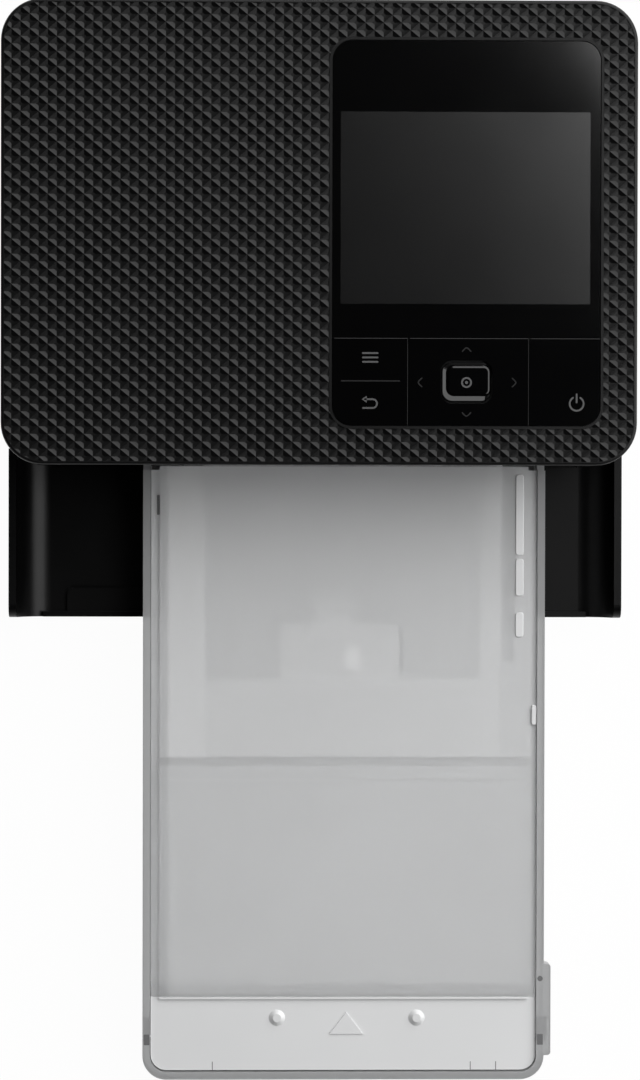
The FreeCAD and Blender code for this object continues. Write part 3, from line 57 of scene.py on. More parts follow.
class Signal:
    """One output socket of a node tree, with arithmetic that adds Math nodes."""

    def __init__(self, nodes: "Nodes", socket: bpy.types.NodeSocket) -> None:
        """Keeps the socket and the tree that it is in."""
        self.nodes = nodes
        self.socket = socket

    def maths(self, operation: str, *values: "Signal | float") -> "Signal":
        """Adds one Math node, with an operation and its inputs in order."""
        return self.nodes.signal("ShaderNodeMath", {"operation": operation}, dict(enumerate(values)))

    def __add__(self, other: "Signal | float") -> "Signal":
        """The sum."""
        return self.maths("ADD", self, other)

    __radd__ = __add__

    def __sub__(self, other: "Signal | float") -> "Signal":
        """The difference."""
        return self.maths("SUBTRACT", self, other)

    def __rsub__(self, other: float) -> "Signal":
        """The difference, taken from a number."""
        return self.maths("SUBTRACT", other, self)

    def __mul__(self, other: "Signal | float") -> "Signal":
        """The product."""
        return self.maths("MULTIPLY", self, other)

    __rmul__ = __mul__

    def __pow__(self, other: "Signal | float") -> "Signal":
        """The power."""
        return self.maths("POWER", self, other)

    def __abs__(self) -> "Signal":
        """The size without its sign."""
        return self.maths("ABSOLUTE", self)

    def smaller(self, other: "Signal | float") -> "Signal":
        """The smaller of the two."""
        return self.maths("MINIMUM", self, other)

    def between(self, low: float, high: float) -> "Signal":
        """A number that goes from low to high as this mask goes from 0 to 1."""
        return low + self * (high - low)

    def above(self, low: float, high: float) -> "Signal":
        """A smooth mask.

        Args:
            low: Where the mask starts to leave 0.
            high: Where it reaches 1.

        Returns:
            The mask.
        """
        settings = {"interpolation_type": "SMOOTHSTEP"}
        limits = {"Value": self, "From Min": low, "From Max": high}
        return self.nodes.signal("ShaderNodeMapRange", settings, limits, "Result")

    def inside(self, span: Span, soft: float) -> "Signal":
        """A smooth mask of a stretch.

        Args:
            span: Where the stretch starts and ends.
            soft: How wide its edges fade.

        Returns:
            The mask, 1 inside the stretch and 0 outside it.
        """
        start, end = (self.above(place - soft / 2, place + soft / 2) for place in span)
        return start * (1 - end)


class Nodes:
    """A node tree that nodes are added to."""

    def __init__(self, tree: bpy.types.NodeTree) -> None:
        """Keeps the tree."""
        self.tree = tree

    def node(self, kind: str, settings: dict, inputs: dict) -> bpy.types.Node:
        """Adds one node.

        Args:
            kind: The node's type.
            settings: Its own settings.
            inputs: Values or signals for its sockets, by name or number.

        Returns:
            The node.
        """
        node = self.tree.nodes.new(kind)
        for key, value in settings.items():
            setattr(node, key, value)
        for key, value in inputs.items():
            self.feed(node.inputs[key], value)
        return node

    def signal(self, kind: str, settings: dict, inputs: dict, output: int | str = 0) -> Signal:
        """Adds one node as the method node does, and gives the output of that number or name."""
        return Signal(self, self.node(kind, settings, inputs).outputs[output])

    def feed(self, socket: bpy.types.NodeSocket, value: Signal | float | tuple) -> None:
        """Links a signal to a socket, or sets the socket's own value.

        Args:
            socket: The input socket.
            value: The signal, number, vector or colour.
        """
        if isinstance(value, Signal):
            self.tree.links.new(value.socket, socket)
        elif isinstance(value, tuple) and len(value) == 3 and len(socket.default_value) == 4:
            socket.default_value = (*value, 1.0)
        else:
            socket.default_value = value

    def split(self, vector: Signal) -> list[Signal]:
        """The X, Y and Z of a vector."""
        parts = self.node("ShaderNodeSeparateXYZ", {}, {0: vector}).outputs
        return [Signal(self, part) for part in parts]

    def joined(self, *parts: Signal | float) -> Signal:
        """The vector of an X, a Y and a Z."""
        return self.signal("ShaderNodeCombineXYZ", {}, dict(enumerate(parts)))


class Shading(Nodes):
    """The shader tree of a material or of the world."""

    def __init__(self, owner: bpy.types.Material | bpy.types.World, output: str) -> None:
        """Empties the owner's tree and adds its output.

        Args:
            owner: The material or the world.
            output: The type of its output node.
        """
        owner.use_nodes = True
        super().__init__(owner.node_tree)
        self.tree.nodes.clear()
        self.output = self.node(output, {}, {})

    def show(self, shader: Signal) -> None:
        """Sends a shader to the output."""
        self.feed(self.output.inputs["Surface"], shader)

    def mixed(self, factor: Signal, first: Signal, second: Signal) -> Signal:
        """The first shader where the factor is 0, and the second where it is 1."""
        return self.signal("ShaderNodeMixShader", {}, {0: factor, 1: first, 2: second})

    def rays(self, kind: str) -> Signal:
        """1 for one of Light Path's kinds of rays, and 0 for the others."""
        return self.signal("ShaderNodeLightPath", {}, {}, kind)

    def background(self) -> Signal:
        """1 for the rays that look at the background or through something at it."""
        return self.rays("Is Camera Ray") + self.rays("Is Transmission Ray")

    def mirrored(self) -> Signal:
        """1 for the rays that a glossy surface throws back."""
        return self.rays("Is Glossy Ray")


class Surface(Shading):
    """One Blender material and its shader."""

    # A colour Mix node's sockets go by number, because hidden ones share their names.
    MIX_FACTOR, MIX_LOW, MIX_HIGH, MIX_RESULT = 0, 6, 7, 2

    def __init__(self, name: str) -> None:
        """Makes the material with its shader.

        Args:
            name: The material's name.
        """
        self.material = bpy.data.materials.new(name)
        super().__init__(self.material, "ShaderNodeOutputMaterial")
        self.shader = self.node("ShaderNodeBsdfPrincipled", {}, {})
        self.plain = Signal(self, self.shader.outputs["BSDF"])
        self.show(self.plain)

    def set(self, **values: Signal | float | tuple) -> "Surface":
        """Sets the shader's sockets.

        Args:
            values: Values by the socket's name, with _ for a space.

        Returns:
            This surface.
        """
        for key, value in values.items():
            self.feed(self.shader.inputs[key.replace("_", " ")], value)
        return self

    def place(self) -> Signal:
        """The point on the object, in metres."""
        return self.signal("ShaderNodeTexCoord", {}, {}, "Object")

    def noise(self, size: float, detail: float = 2.0, stretch: tuple[float, ...] = (1.0, 1.0, 1.0)) -> Signal:
        """Soft random mottling.

        Args:
            size: The width of its lumps, in metres.
            detail: How many finer layers it has.
            stretch: How much longer the lumps are along each axis.

        Returns:
            A value about 0.5.
        """
        scale = tuple(1 / length for length in stretch)
        spot = self.signal("ShaderNodeMapping", {}, {"Vector": self.place(), "Scale": scale})
        return self.signal("ShaderNodeTexNoise", {}, {"Vector": spot, "Scale": 1 / size, "Detail": detail})

    def blend(self, mask: Signal, low: Colour, high: Colour) -> Signal:
        """The low colour where a mask is 0, and the high one where it is 1."""
        inputs = {self.MIX_FACTOR: mask, self.MIX_LOW: low, self.MIX_HIGH: high}
        return self.signal("ShaderNodeMix", {"data_type": "RGBA"}, inputs, self.MIX_RESULT)

    def shaded(self, mask: Signal, colour: Colour, shades: Span) -> Signal:
        """One colour that goes from its first shade to its second with a mask."""
        return self.blend(mask, tinted(colour, shades[0]), tinted(colour, shades[1]))

    def bump(self, height: Signal, depth: float) -> "Surface":
        """Feeds a height from 0 to 1 to the shader's normal, where 1 stands for a depth in metres."""
        return self.set(Normal=self.signal("ShaderNodeBump", {}, {"Distance": depth, "Height": height}))


def tinted(colour: Colour, factor: float) -> Colour:
    """A colour made lighter or darker by a factor."""
    return tuple(min(1.0, channel * factor) for channel in colour)


@dataclass(frozen=True)
class MouldedPlastic:
    """Injection moulded plastic with a fine eroded grain."""

    name: str
    colour: Colour
    roughness: float = 0.42
    wear: float = 0.05
    shades: Span = (0.9, 1.1)
    cloud: float = 18 * MM
    grain: float = 0.35 * MM
    grain_detail: float = 3.0
    grain_depth: float = 0.012 * MM
    shine: float = 0.5

    def make(self) -> bpy.types.Material:
        """Builds the material.

        Returns:
            The material.
        """
        surface = Surface(self.name)
        cloud = surface.noise(self.cloud)
        surface.set(
            Base_Color=surface.shaded(cloud, self.colour, self.shades),
            Roughness=cloud.between(self.roughness - self.wear, self.roughness + self.wear),
            Specular_IOR_Level=self.shine)
        return surface.bump(surface.noise(self.grain, self.grain_detail), self.grain_depth).material


@dataclass(frozen=True)
class GlossBlack:
    """The polished black of the keys and the ribbon."""

    name: str
    colour: Colour = (0.0006, 0.0006, 0.0007)
    roughness: float = 0.085
    smear: float = 0.02
    shades: Span = (1.0, 1.5)
    smudge: float = 14 * MM
    smudge_detail: float = 3.0
    shine: float = 0.6

    def make(self) -> bpy.types.Material:
        """Builds the material.

        Returns:
            The material.
        """
        surface = Surface(self.name)
        smudge = surface.noise(self.smudge, self.smudge_detail)
        surface.set(
            Base_Color=surface.shaded(smudge, self.colour, self.shades),
            Roughness=smudge.between(self.roughness, self.roughness + self.smear),
            Specular_IOR_Level=self.shine)
        return surface.material


@dataclass(frozen=True)
class ScreenGlass:
    """Panel glass whose display area is a little lighter and less polished."""

    name: str
    centre: Point
    size: Point
    colour: Colour = (0.0006, 0.0006, 0.0007)
    display: Colour = (0.0015, 0.0015, 0.0016)
    edge: float = 0.12 * MM
    roughness: float = 0.07
    display_roughness: float = 0.16
    smear: float = 0.02
    smudge: float = 16 * MM
    smudge_detail: float = 3.0
    shine: float = 0.95

    def make(self) -> bpy.types.Material:
        """Builds the material.

        Returns:
            The material.
        """
        surface = Surface(self.name)
        x, y, _ = surface.split(surface.place())
        across = self.size[0] / 2 - abs(x - self.centre[0])
        along = self.size[1] / 2 - abs(y - self.centre[1])
        inside = across.smaller(along).above(0.0, self.edge)
        smudge = surface.noise(self.smudge, self.smudge_detail)
        surface.set(
            Base_Color=surface.blend(inside, self.colour, self.display),
            Roughness=inside.between(self.roughness, self.display_roughness) + smudge * self.smear,
            Specular_IOR_Level=self.shine)
        return surface.material


@dataclass(frozen=True)
class PaintedShadingPatch:
    """A place where milky plastic lets more or less light through, in millimetres, used to paint shade or
    light onto the surface.
    """

    x: Span
    y: Span
    soft: float
    change: float

    def mask(self, x: Signal, y: Signal) -> Signal:
        """1 where the surface's X and Y are inside the place and 0 outside it, with soft edges.

        Args:
            x: The surface's X, in metres.
            y: Its Y.

        Returns:
            The mask.
        """
        across = x.inside((self.x[0] * MM, self.x[1] * MM), self.soft * MM)
        along = y.inside((self.y[0] * MM, self.y[1] * MM), self.soft * MM)
        return across * along


@dataclass(frozen=True)
class FrostedPlastic:
    """Milky plastic, part of which lets light through."""

    name: str
    milk: Colour
    glow: Colour
    clearness: float
    roughness: float = 0.38
    clear_from: float = -10.0
    fade: float = 0.5 * MM
    shading_patches: tuple[PaintedShadingPatch, ...] = ()
    milk_shades: Span = (0.97, 1.03)
    glow_shades: Span = (0.98, 1.0)
    unevenness: float = 0.02
    wear: float = 0.04
    cloud: float = 30 * MM
    grain: float = 0.5 * MM
    grain_depth: float = 0.01 * MM
    ior: float = 1.3

    def make(self) -> bpy.types.Material:
        """Builds the material.

        Returns:
            The material.
        """
        surface = Surface(self.name)
        x, y, _ = surface.split(surface.place())
        cloud = surface.noise(self.cloud)
        surface.set(Base_Color=surface.shaded(cloud, self.milk, self.milk_shades), Roughness=self.roughness)
        surface.bump(surface.noise(self.grain), self.grain_depth)
        clear = surface.signal("ShaderNodeBsdfPrincipled", {}, {
            "Base Color": surface.shaded(cloud, self.glow, self.glow_shades),
            "Roughness": cloud.between(self.roughness - self.wear, self.roughness + self.wear),
            "Transmission Weight": 1.0,
            "IOR": self.ior})
        share = cloud.between(self.clearness - self.unevenness, self.clearness + self.unevenness)
        # Each patch paints shade or light: a clearer place shows darker, a milkier one lighter.
        for patch in self.shading_patches:
            share = share + patch.mask(x, y) * patch.change
        share = share * y.above(self.clear_from, self.clear_from + self.fade)
        surface.show(surface.mixed(share, surface.plain, clear))
        return surface.material


@dataclass(frozen=True)
class Metal:
    """Rolled, drawn or plated metal with fine lines along one axis."""

    name: str
    colour: Colour
    roughness: float = 0.3
    scratches: Span = (-0.06, 0.08)
    shades: Span = (0.92, 1.05)
    cloud: float = 12 * MM
    line: float = 0.3 * MM
    line_depth: float = 0.006 * MM
    stretch: tuple[float, ...] = (40.0, 1.0, 1.0)

    def make(self) -> bpy.types.Material:
        """Builds the material.

        Returns:
            The material.
        """
        surface = Surface(self.name)
        lines = surface.noise(self.line, stretch=self.stretch)
        smoothest, roughest = (self.roughness + change for change in self.scratches)
        surface.set(
            Base_Color=surface.shaded(surface.noise(self.cloud), self.colour, self.shades),
            Metallic=1.0,
            Roughness=lines.between(smoothest, roughest))
        return surface.bump(lines, self.line_depth).material


@dataclass(frozen=True)
class Rubber:
    """Dull rubber with a ground surface."""

    name: str
    colour: Colour = (0.018, 0.018, 0.019)
    roughness: Span = (0.78, 0.9)
    shades: Span = (0.7, 1.5)
    speck: float = 0.4 * MM
    speck_detail: float = 4.0
    speck_depth: float = 0.04 * MM

    def make(self) -> bpy.types.Material:
        """Builds the material.

        Returns:
            The material.
        """
        surface = Surface(self.name)
        speck = surface.noise(self.speck, self.speck_detail)
        surface.set(Base_Color=surface.shaded(speck, self.colour, self.shades),
                    Roughness=speck.between(*self.roughness))
        return surface.bump(speck, self.speck_depth).material


@dataclass(frozen=True)
class CircuitBoard:
    """Green laminate with its copper weave just visible."""

    name: str
    colour: Colour = (0.012, 0.09, 0.035)
    roughness: Span = (0.36, 0.46)
    shades: Span = (1.0, 1.6)
    weave: float = 1.6 * MM
    weave_edge: Span = (0.45, 0.55)
    weave_depth: float = 0.03 * MM

    def make(self) -> bpy.types.Material:
        """Builds the material.

        Returns:
            The material.
        """
        surface = Surface(self.name)
        weave = surface.noise(self.weave, 0.0)
        surface.set(Base_Color=surface.shaded(weave.above(*self.weave_edge), self.colour, self.shades),
                    Roughness=weave.between(*self.roughness))
        return surface.bump(weave, self.weave_depth).material


class Paint(Enum):
    """The finishes of the printer's pieces."""

    CASE = MouldedPlastic("case_black", (0.0014, 0.0014, 0.0015), roughness=0.31, grain_depth=0.004 * MM,
                          shine=0.22)
    TOP = MouldedPlastic("top_black", (0.0013, 0.0013, 0.0014), roughness=0.36, grain=0.25 * MM,
                         grain_depth=0.006 * MM, shine=0.25)
    KEYS = GlossBlack("key_black", roughness=0.07)
    CAP = GlossBlack("cap_black", shine=0.4)
    MARKS = MouldedPlastic("printed_grey", (0.075, 0.075, 0.076), roughness=0.5, grain=0.2 * MM,
                           grain_depth=0.004 * MM, shine=0.3)
    FAINT = MouldedPlastic("faint_grey", (0.009, 0.009, 0.0092), roughness=0.5, grain=0.2 * MM,
                           grain_depth=0.003 * MM, shine=0.2)
    LID_WHITE = MouldedPlastic("lid_white", (0.7, 0.704, 0.708), roughness=0.4)
    # Dark grey for thin plates that paint the shade in slots, grooves, gaps, nicks and a hole.
    SLOT_SHADE = MouldedPlastic("painted_slot_shade", (0.13, 0.13, 0.132), roughness=0.5)
    TRAY = FrostedPlastic("tray_frosted", (0.37, 0.373, 0.376), (0.9, 0.905, 0.91), clearness=0.35)
    INNER_LID = FrostedPlastic("inner_lid_frosted", (0.36, 0.365, 0.37), (0.8, 0.805, 0.81), clearness=0.3)
    STEEL = Metal("polished_steel", (0.6, 0.6, 0.61), roughness=0.24)
    SHEET = Metal("zinc_sheet", (0.55, 0.56, 0.57), roughness=0.38)
    SINK = Metal("cast_aluminium", (0.74, 0.75, 0.76), roughness=0.34)
    RUBBER = Rubber("roller_rubber")
    GEARS = MouldedPlastic("gear_white", (0.72, 0.72, 0.68), roughness=0.38, grain=0.5 * MM,
                           grain_depth=0.006 * MM)
    BOARD = CircuitBoard("board_green")
    BLACK_PART = MouldedPlastic("inner_black", (0.014, 0.014, 0.015), roughness=0.5)
    RIBBON_CASE = MouldedPlastic("ribbon_grey", (0.2, 0.205, 0.21), roughness=0.4)
    FILM = GlossBlack("ribbon_film", (0.03, 0.012, 0.035), roughness=0.12)


class Paintbox:
    """Builds each finish once and hands it out."""

    made: dict[str, bpy.types.Material] = {}

    @classmethod
    def get(cls, paint: Paint) -> bpy.types.Material:
        """The material of a finish.

        Args:
            paint: The finish.

        Returns:
            Its material, built when it is first asked for.
        """
        if paint.name not in cls.made:
            cls.made[paint.name] = paint.value.make()
        return cls.made[paint.name]


def dress(material: bpy.types.Material, *names: str) -> None:
    """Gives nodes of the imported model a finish.

    Args:
        material: Their material.
        names: The nodes' names.
    """
    for name in names:
        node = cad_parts[name]
        node.data.materials.clear()
        node.data.materials.append(material)
        log.info("dressed %s", name)


def placed(name: str, mesh: bpy.types.Mesh, body: str,
           material: bpy.types.Material) -> bpy.types.Object:
    """Adds a new piece that rides on a body.

    Args:
        name: The piece's name.
        mesh: Its mesh, in the printer's frame.
        body: The body it moves with.
        material: Its material.

    Returns:
        The piece.
    """
    piece = bpy.data.objects.new(name, mesh)
    bpy.context.scene.collection.objects.link(piece)
    mesh.materials.clear()
    mesh.materials.append(material)
    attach(piece, body)
    log.info("made %s: %d faces on %s", name, len(mesh.polygons), body)
    return piece


def pairs(items: list, closed: bool = True) -> list[tuple]:
    """Each item with the next one, and the last with the first where they close."""
    return list(zip(items, items[1:] + (items[:1] if closed else [])))


def widened(span: Span, by: float) -> Span:
    """A span made longer by the same at both ends."""
    return (span[0] - by, span[1] + by)


def metres(points: list[Point]) -> list[Point]:
    """Points in metres, given in millimetres."""
    return [(x * MM, y * MM) for x, y in points]


def unit(start: Point, end: Point) -> Point:
    """The direction from one point to another."""
    gap = math.dist(start, end)
    return ((end[0] - start[0]) / gap, (end[1] - start[1]) / gap)


def arc(centre: Point, radius: float, start: float, end: float, steps: int) -> list[Point]:
    """Points along an arc.

    Args:
        centre: The arc's centre.
        radius: Its radius.
        start: The angle where it starts, in degrees.
        end: The angle where it ends, in degrees.
        steps: How many straight pieces it has.

    Returns:
        The points.
    """
    angles = [math.radians(start + (end - start) * step / steps) for step in range(steps + 1)]
    return [(centre[0] + radius * math.cos(a), centre[1] + radius * math.sin(a)) for a in angles]


def circle(centre: Point, radius: float, count: int) -> list[Point]:
    """As many points as asked for, evenly round a circle."""
    return arc(centre, radius, 0, 360 - 360 / count, count - 1)


def rounded_outline(x: Span, y: Span, radius: float, steps: int = 10) -> list[Point]:
    """A rectangle with round corners, anticlockwise.

    Args:
        x: Its X span.
        y: Its Y span.
        radius: The corners' radius.
        steps: How many straight pieces stand for each corner.

    Returns:
        Its corner points.
    """
    (left, right), (near, far) = widened(x, -radius), widened(y, -radius)
    points = []
    for quarter, centre in enumerate(((right, near), (right, far), (left, far), (left, near))):
        points += arc(centre, radius, 90 * (quarter - 1), 90 * quarter, steps)
    return points


def lofted(shape: bmesh.types.BMesh, rings: list[tuple[list[Point], float]]) -> None:
    """Joins outlines at different heights into one closed shape.

    Args:
        shape: The shape that the result is added to.
        rings: Outlines with as many points each, anticlockwise, and their heights.
    """
    levels = [[shape.verts.new((*point, height)) for point in outline] for outline, height in rings]
    for under, over in pairs(levels, closed=False):
        for (low, high), (next_low, next_high) in pairs(list(zip(under, over))):
            shape.faces.new((low, next_low, next_high, high))
    shape.faces.new(levels[0][::-1])
    shape.faces.new(levels[-1])


def mesh_of(shape: bmesh.types.BMesh, name: str) -> bpy.types.Mesh:
    """Turns a shape into a mesh and frees the shape.

    Args:
        shape: The shape.
        name: The mesh's name.

    Returns:
        The mesh.
    """
    mesh = bpy.data.meshes.new(name)
    shape.to_mesh(mesh)
    shape.free()
    return mesh


def trim(shape: bmesh.types.BMesh, outline: list[Point], keep_inside: bool) -> None:
    """Cuts a shape along an upright wall that stands on a convex outline.

    Args:
        shape: The shape that is cut.
        outline: The wall's corner points, anticlockwise.
        keep_inside: Whether the part inside the wall stays, or the part outside it.
    """
    for start, end in pairs(outline):
        if math.dist(start, end) < TOUCHING:
            continue
        outward = Vector((end[1] - start[1], start[0] - end[0], 0.0)).normalized()
        geometry = shape.verts[:] + shape.edges[:] + shape.faces[:]
        bmesh.ops.bisect_plane(shape, geom=geometry, dist=TOUCHING, plane_co=(*start, 0.0), plane_no=outward,
                               clear_outer=keep_inside)
    if not keep_inside:
        gone = [face for face in shape.faces if within(face.calc_center_median(), outline)]
        bmesh.ops.delete(shape, geom=gone, context="FACES")


def within(spot: Vector, outline: list[Point]) -> bool:
    """Whether a point is inside a convex outline.

    Args:
        spot: The point.
        outline: The outline, anticlockwise.

    Returns:
        True if it is inside.
    """
    return all((end[0] - start[0]) * (spot.y - start[1]) >= (end[1] - start[1]) * (spot.x - start[0])
               for start, end in pairs(outline))


def grown(name: str, tree: bpy.types.NodeTree, values: dict) -> bpy.types.Mesh:
    """Runs a node tree and keeps its result as a plain mesh.

    Args:
        name: The mesh's name.
        tree: The tree.
        values: The tree's inputs by name.

    Returns:
        The mesh.
    """
    seed = bpy.data.objects.new(name + "_seed", bpy.data.meshes.new(name + "_seed"))
    bpy.context.scene.collection.objects.link(seed)
    modifier = seed.modifiers.new(name, "NODES")
    modifier.node_group = tree
    for socket in tree.interface.items_tree:
        if socket.in_out == "INPUT":
            modifier[socket.identifier] = values[socket.name]
    bpy.context.view_layer.update()
    result = seed.evaluated_get(bpy.context.evaluated_depsgraph_get())
    mesh = bpy.data.meshes.new_from_object(result)
    seed.modifiers.clear()
    bpy.data.objects.remove(seed)
    mesh.name = name
    return mesh


class Places:
    """Places that several sub-assemblies share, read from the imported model."""

    def __init__(self) -> None:
        """Reads the boxes of the main nodes."""
        self.top_low, self.top_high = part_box("top_cover")
        self.glass_low, self.glass_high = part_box("panel_glass")
        self.key_low, self.key_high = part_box("menu_back_key")
        self.front = self.top_low.y
        self.top = self.top_high.z

    def panel(self) -> tuple[Span, Span]:
        """The X span and the Y span of the control panel."""
        return (self.glass_low.x, self.glass_high.x), (self.key_low.y, self.glass_high.y)


@dataclass
class TexturedTop:
    """The field of small four-sided pits pressed into the top cover."""

    places: Places
    pitch_x: float = 5.18 * MM
    pitch_y: float = 4.28 * MM
    height: float = 0.46 * MM
    bowl: float = 1.7
    pit_sides: int = 4
    pit_rings: int = 3
    spare: int = 2
    rim: float = 1.0 * MM
    corner: float = 12.0 * MM
    panel_corner: float = 5.5 * MM
    lift: float = 0.01 * MM

    def tree(self) -> bpy.types.NodeTree:
        """Builds the node tree that repeats one pit over two grids.

        Returns:
            The tree, with its sizes as inputs.
        """
        tree = bpy.data.node_groups.new("pit_field", "GeometryNodeTree")
        tree.interface.new_socket("Geometry", in_out="OUTPUT", socket_type="NodeSocketGeometry")
        sockets = {"Float": ("Width", "Length", "Pitch X", "Pitch Y", "Height", "Bowl"),
                   "Int": ("Columns", "Rows"), "Vector": ("Centre",), "Material": ("Material",)}
        for kind, names in sockets.items():
            for name in names:
                tree.interface.new_socket(name, in_out="INPUT", socket_type="NodeSocket" + kind)
        nodes = Nodes(tree)
        inputs = nodes.node("NodeGroupInput", {}, {}).outputs
        given = {socket.name: Signal(nodes, socket) for socket in inputs}
        half_x, half_y = given["Pitch X"] * 0.5, given["Pitch Y"] * 0.5
        field_points = self.grids(nodes, given, nodes.joined(half_x, half_y))
        size = nodes.joined(half_x, half_y, given["Height"])
        pit = self.pit(nodes, given["Bowl"])
        pit = nodes.signal("GeometryNodeTransform", {}, {"Geometry": pit, "Scale": size})
        pit = nodes.signal("GeometryNodeFlipFaces", {}, {0: pit})
        pits = nodes.signal("GeometryNodeInstanceOnPoints", {}, {"Points": field_points, "Instance": pit})
        pits = nodes.signal("GeometryNodeTransform", {}, {"Geometry": pits, "Translation": given["Centre"]})
        pits = nodes.signal("GeometryNodeRealizeInstances", {}, {0: pits})
        pits = nodes.signal("GeometryNodeSetMaterial", {}, {"Geometry": pits, "Material": given["Material"]})
        nodes.node("NodeGroupOutput", {}, {0: pits})
        return tree

    def grids(self, nodes: Nodes, given: dict[str, Signal], shift: Signal) -> Signal:
        """Two grids of points, the second of which is shifted by half a pit.

        Args:
            nodes: The tree.
            given: The tree's inputs.
            shift: How far the second grid is shifted.

        Returns:
            The points of both.
        """
        sizes = {"Size X": given["Width"], "Size Y": given["Length"],
                 "Vertices X": given["Columns"], "Vertices Y": given["Rows"]}
        grid = nodes.signal("GeometryNodeMeshGrid", {}, sizes)
        both = nodes.node("GeometryNodeJoinGeometry", {}, {0: grid})
        shifted = nodes.signal("GeometryNodeTransform", {}, {"Geometry": grid, "Translation": shift})
        nodes.feed(both.inputs[0], shifted)
        return Signal(nodes, both.outputs[0])

    def pit(self, nodes: Nodes, bowl: Signal) -> Signal:
        """One pit of unit size: a cone on its tip, whose sides are hollowed.

        Args:
            nodes: The tree.
            bowl: The power that hollows the sides, where 1 leaves them straight.

        Returns:
            The pit.
        """
        cone = nodes.signal("GeometryNodeMeshCone", {"fill_type": "NONE"}, {
            "Vertices": self.pit_sides, "Side Segments": self.pit_rings,
            "Radius Top": 1.0, "Radius Bottom": 0.0, "Depth": 1.0})
        x, y, z = nodes.split(nodes.signal("GeometryNodeInputPosition", {}, {}))
        hollow = nodes.joined(x, y, z ** bowl)
        return nodes.signal("GeometryNodeSetPosition", {}, {"Geometry": cone, "Position": hollow})

    def build(self) -> None:
        """Makes the field, trimmed to the rim and to the control panel."""
        low, high = self.places.top_low, self.places.top_high
        columns = math.ceil((high.x - low.x) / self.pitch_x) + self.spare
        rows = math.ceil((high.y - low.y) / self.pitch_y) + self.spare
        depth = self.height - self.lift
        material = Paintbox.get(Paint.TOP)
        mesh = grown("pit_field", self.tree(), {
            "Width": (columns - 1) * self.pitch_x, "Length": (rows - 1) * self.pitch_y,
            "Pitch X": self.pitch_x, "Pitch Y": self.pitch_y, "Height": depth, "Bowl": self.bowl,
            "Columns": columns, "Rows": rows,
            "Centre": ((low.x + high.x) / 2, (low.y + high.y) / 2, self.places.top - depth),
            "Material": material})
        shape = bmesh.new()
        shape.from_mesh(mesh)
        bmesh.ops.remove_doubles(shape, verts=shape.verts, dist=self.lift)
        cover = [widened(span, -self.rim) for span in ((low.x, high.x), (low.y, high.y))]
        trim(shape, rounded_outline(*cover, self.corner - self.rim), keep_inside=True)
        panel = [widened(span, self.rim) for span in self.places.panel()]
        trim(shape, rounded_outline(*panel, self.panel_corner + self.rim), keep_inside=False)
        shape.to_mesh(mesh)
        shape.free()
        placed("top_texture", mesh, "housing", material)


@dataclass
class Strokes:
    """Thin printed marks made of straight and round strokes on one level."""

    level: float
    width: float
    thickness: float = 0.02 * MM
    cap_steps: int = 6
    shape: bmesh.types.BMesh = field(default_factory=bmesh.new)

    def line(self, points: list[Point], closed: bool = False) -> None:
        """Draws one stroke of even width through points, with round ends where it has ends.

        Args:
            points: The stroke's middle line.
            closed: Whether it runs back to its first point.
        """
        ways = [unit(start, end) for start, end in pairs(points, closed)]
        # Each point gets the way that comes to it and the way that leaves it, and an end has one way for both.
        ways = ways[-1:] + ways if closed else ways[:1] + ways + ways[-1:]
        edges = [self.beside(*joint) for joint in zip(points, ways, ways[1:])]
        for (left, right), (next_left, next_right) in pairs(edges, closed):
            self.patch([left, right, next_right, next_left])
        if not closed:
            for end, inner in ((points[0], points[1]), (points[-1], points[-2])):
                turn = math.degrees(math.atan2(end[1] - inner[1], end[0] - inner[0]))
                self.patch(arc(end, self.width / 2, turn - 90, turn + 90, self.cap_steps))

    def beside(self, point: Point, before: Point, after: Point) -> list[Point]:
        """The stroke's left and right edge beside a point.

        Args:
            point: The point on the middle line.
            before: The direction of the stroke that comes to it.
            after: The direction of the stroke that leaves it.

        Returns:
            The left and the right point.
        """
        across = (-(before[1] + after[1]) / 2, (before[0] + after[0]) / 2)
        reach = self.width / 2 / (across[0] ** 2 + across[1] ** 2)
        return [(point[0] + side * across[0], point[1] + side * across[1]) for side in (reach, -reach)]

    def patch(self, ring: list[Point]) -> None:
        """Adds one flat raised patch with an anticlockwise outline."""
        lofted(self.shape, [(ring, self.level), (ring, self.level + self.thickness)])

    def mesh(self, name: str) -> bpy.types.Mesh:
        """The strokes as a mesh."""
        return mesh_of(self.shape, name)


@dataclass
class Strips:
    """Narrow bevels that slope down from an edge."""

    level: float
    drop: float
    shape: bmesh.types.BMesh = field(default_factory=bmesh.new)

    def add(self, start: Point, end: Point, across: Point) -> None:
        """Adds one strip.

        Args:
            start: Where its upper edge starts.
            end: Where its upper edge ends.
            across: The way from its upper edge to its lower edge.
        """
        low = self.level - self.drop
        near = [(*start, self.level), (*end, self.level)]
        far = [(point[0] + across[0], point[1] + across[1], low) for point in (start, end)]
        foot = [(*start, low), (*end, low)]
        verts = [self.shape.verts.new(place) for place in near + far + foot]
        for face in ((0, 1, 3, 2), (2, 3, 5, 4), (4, 5, 1, 0), (0, 2, 4), (1, 5, 3)):
            self.shape.faces.new([verts[corner] for corner in face])

    def mesh(self, name: str) -> bpy.types.Mesh:
        """The strips as a mesh."""
        bmesh.ops.recalc_face_normals(self.shape, faces=self.shape.faces)
        return mesh_of(self.shape, name)


@dataclass(frozen=True)
class CapRing:
    """One outline of the middle key's cap: its insets, its corners and how low it lies, in millimetres."""

    left: float
    right: float
    near: float
    far: float
    corner: float
    drop: float
    steps: int = 8

    def outline(self, x: Span, y: Span) -> list[Point]:
        """Its points on a key with these spans."""
        sides = (x[0] + self.left * MM, x[1] - self.right * MM), (y[0] + self.near * MM, y[1] - self.far * MM)
        return rounded_outline(*sides, self.corner * MM, self.steps)


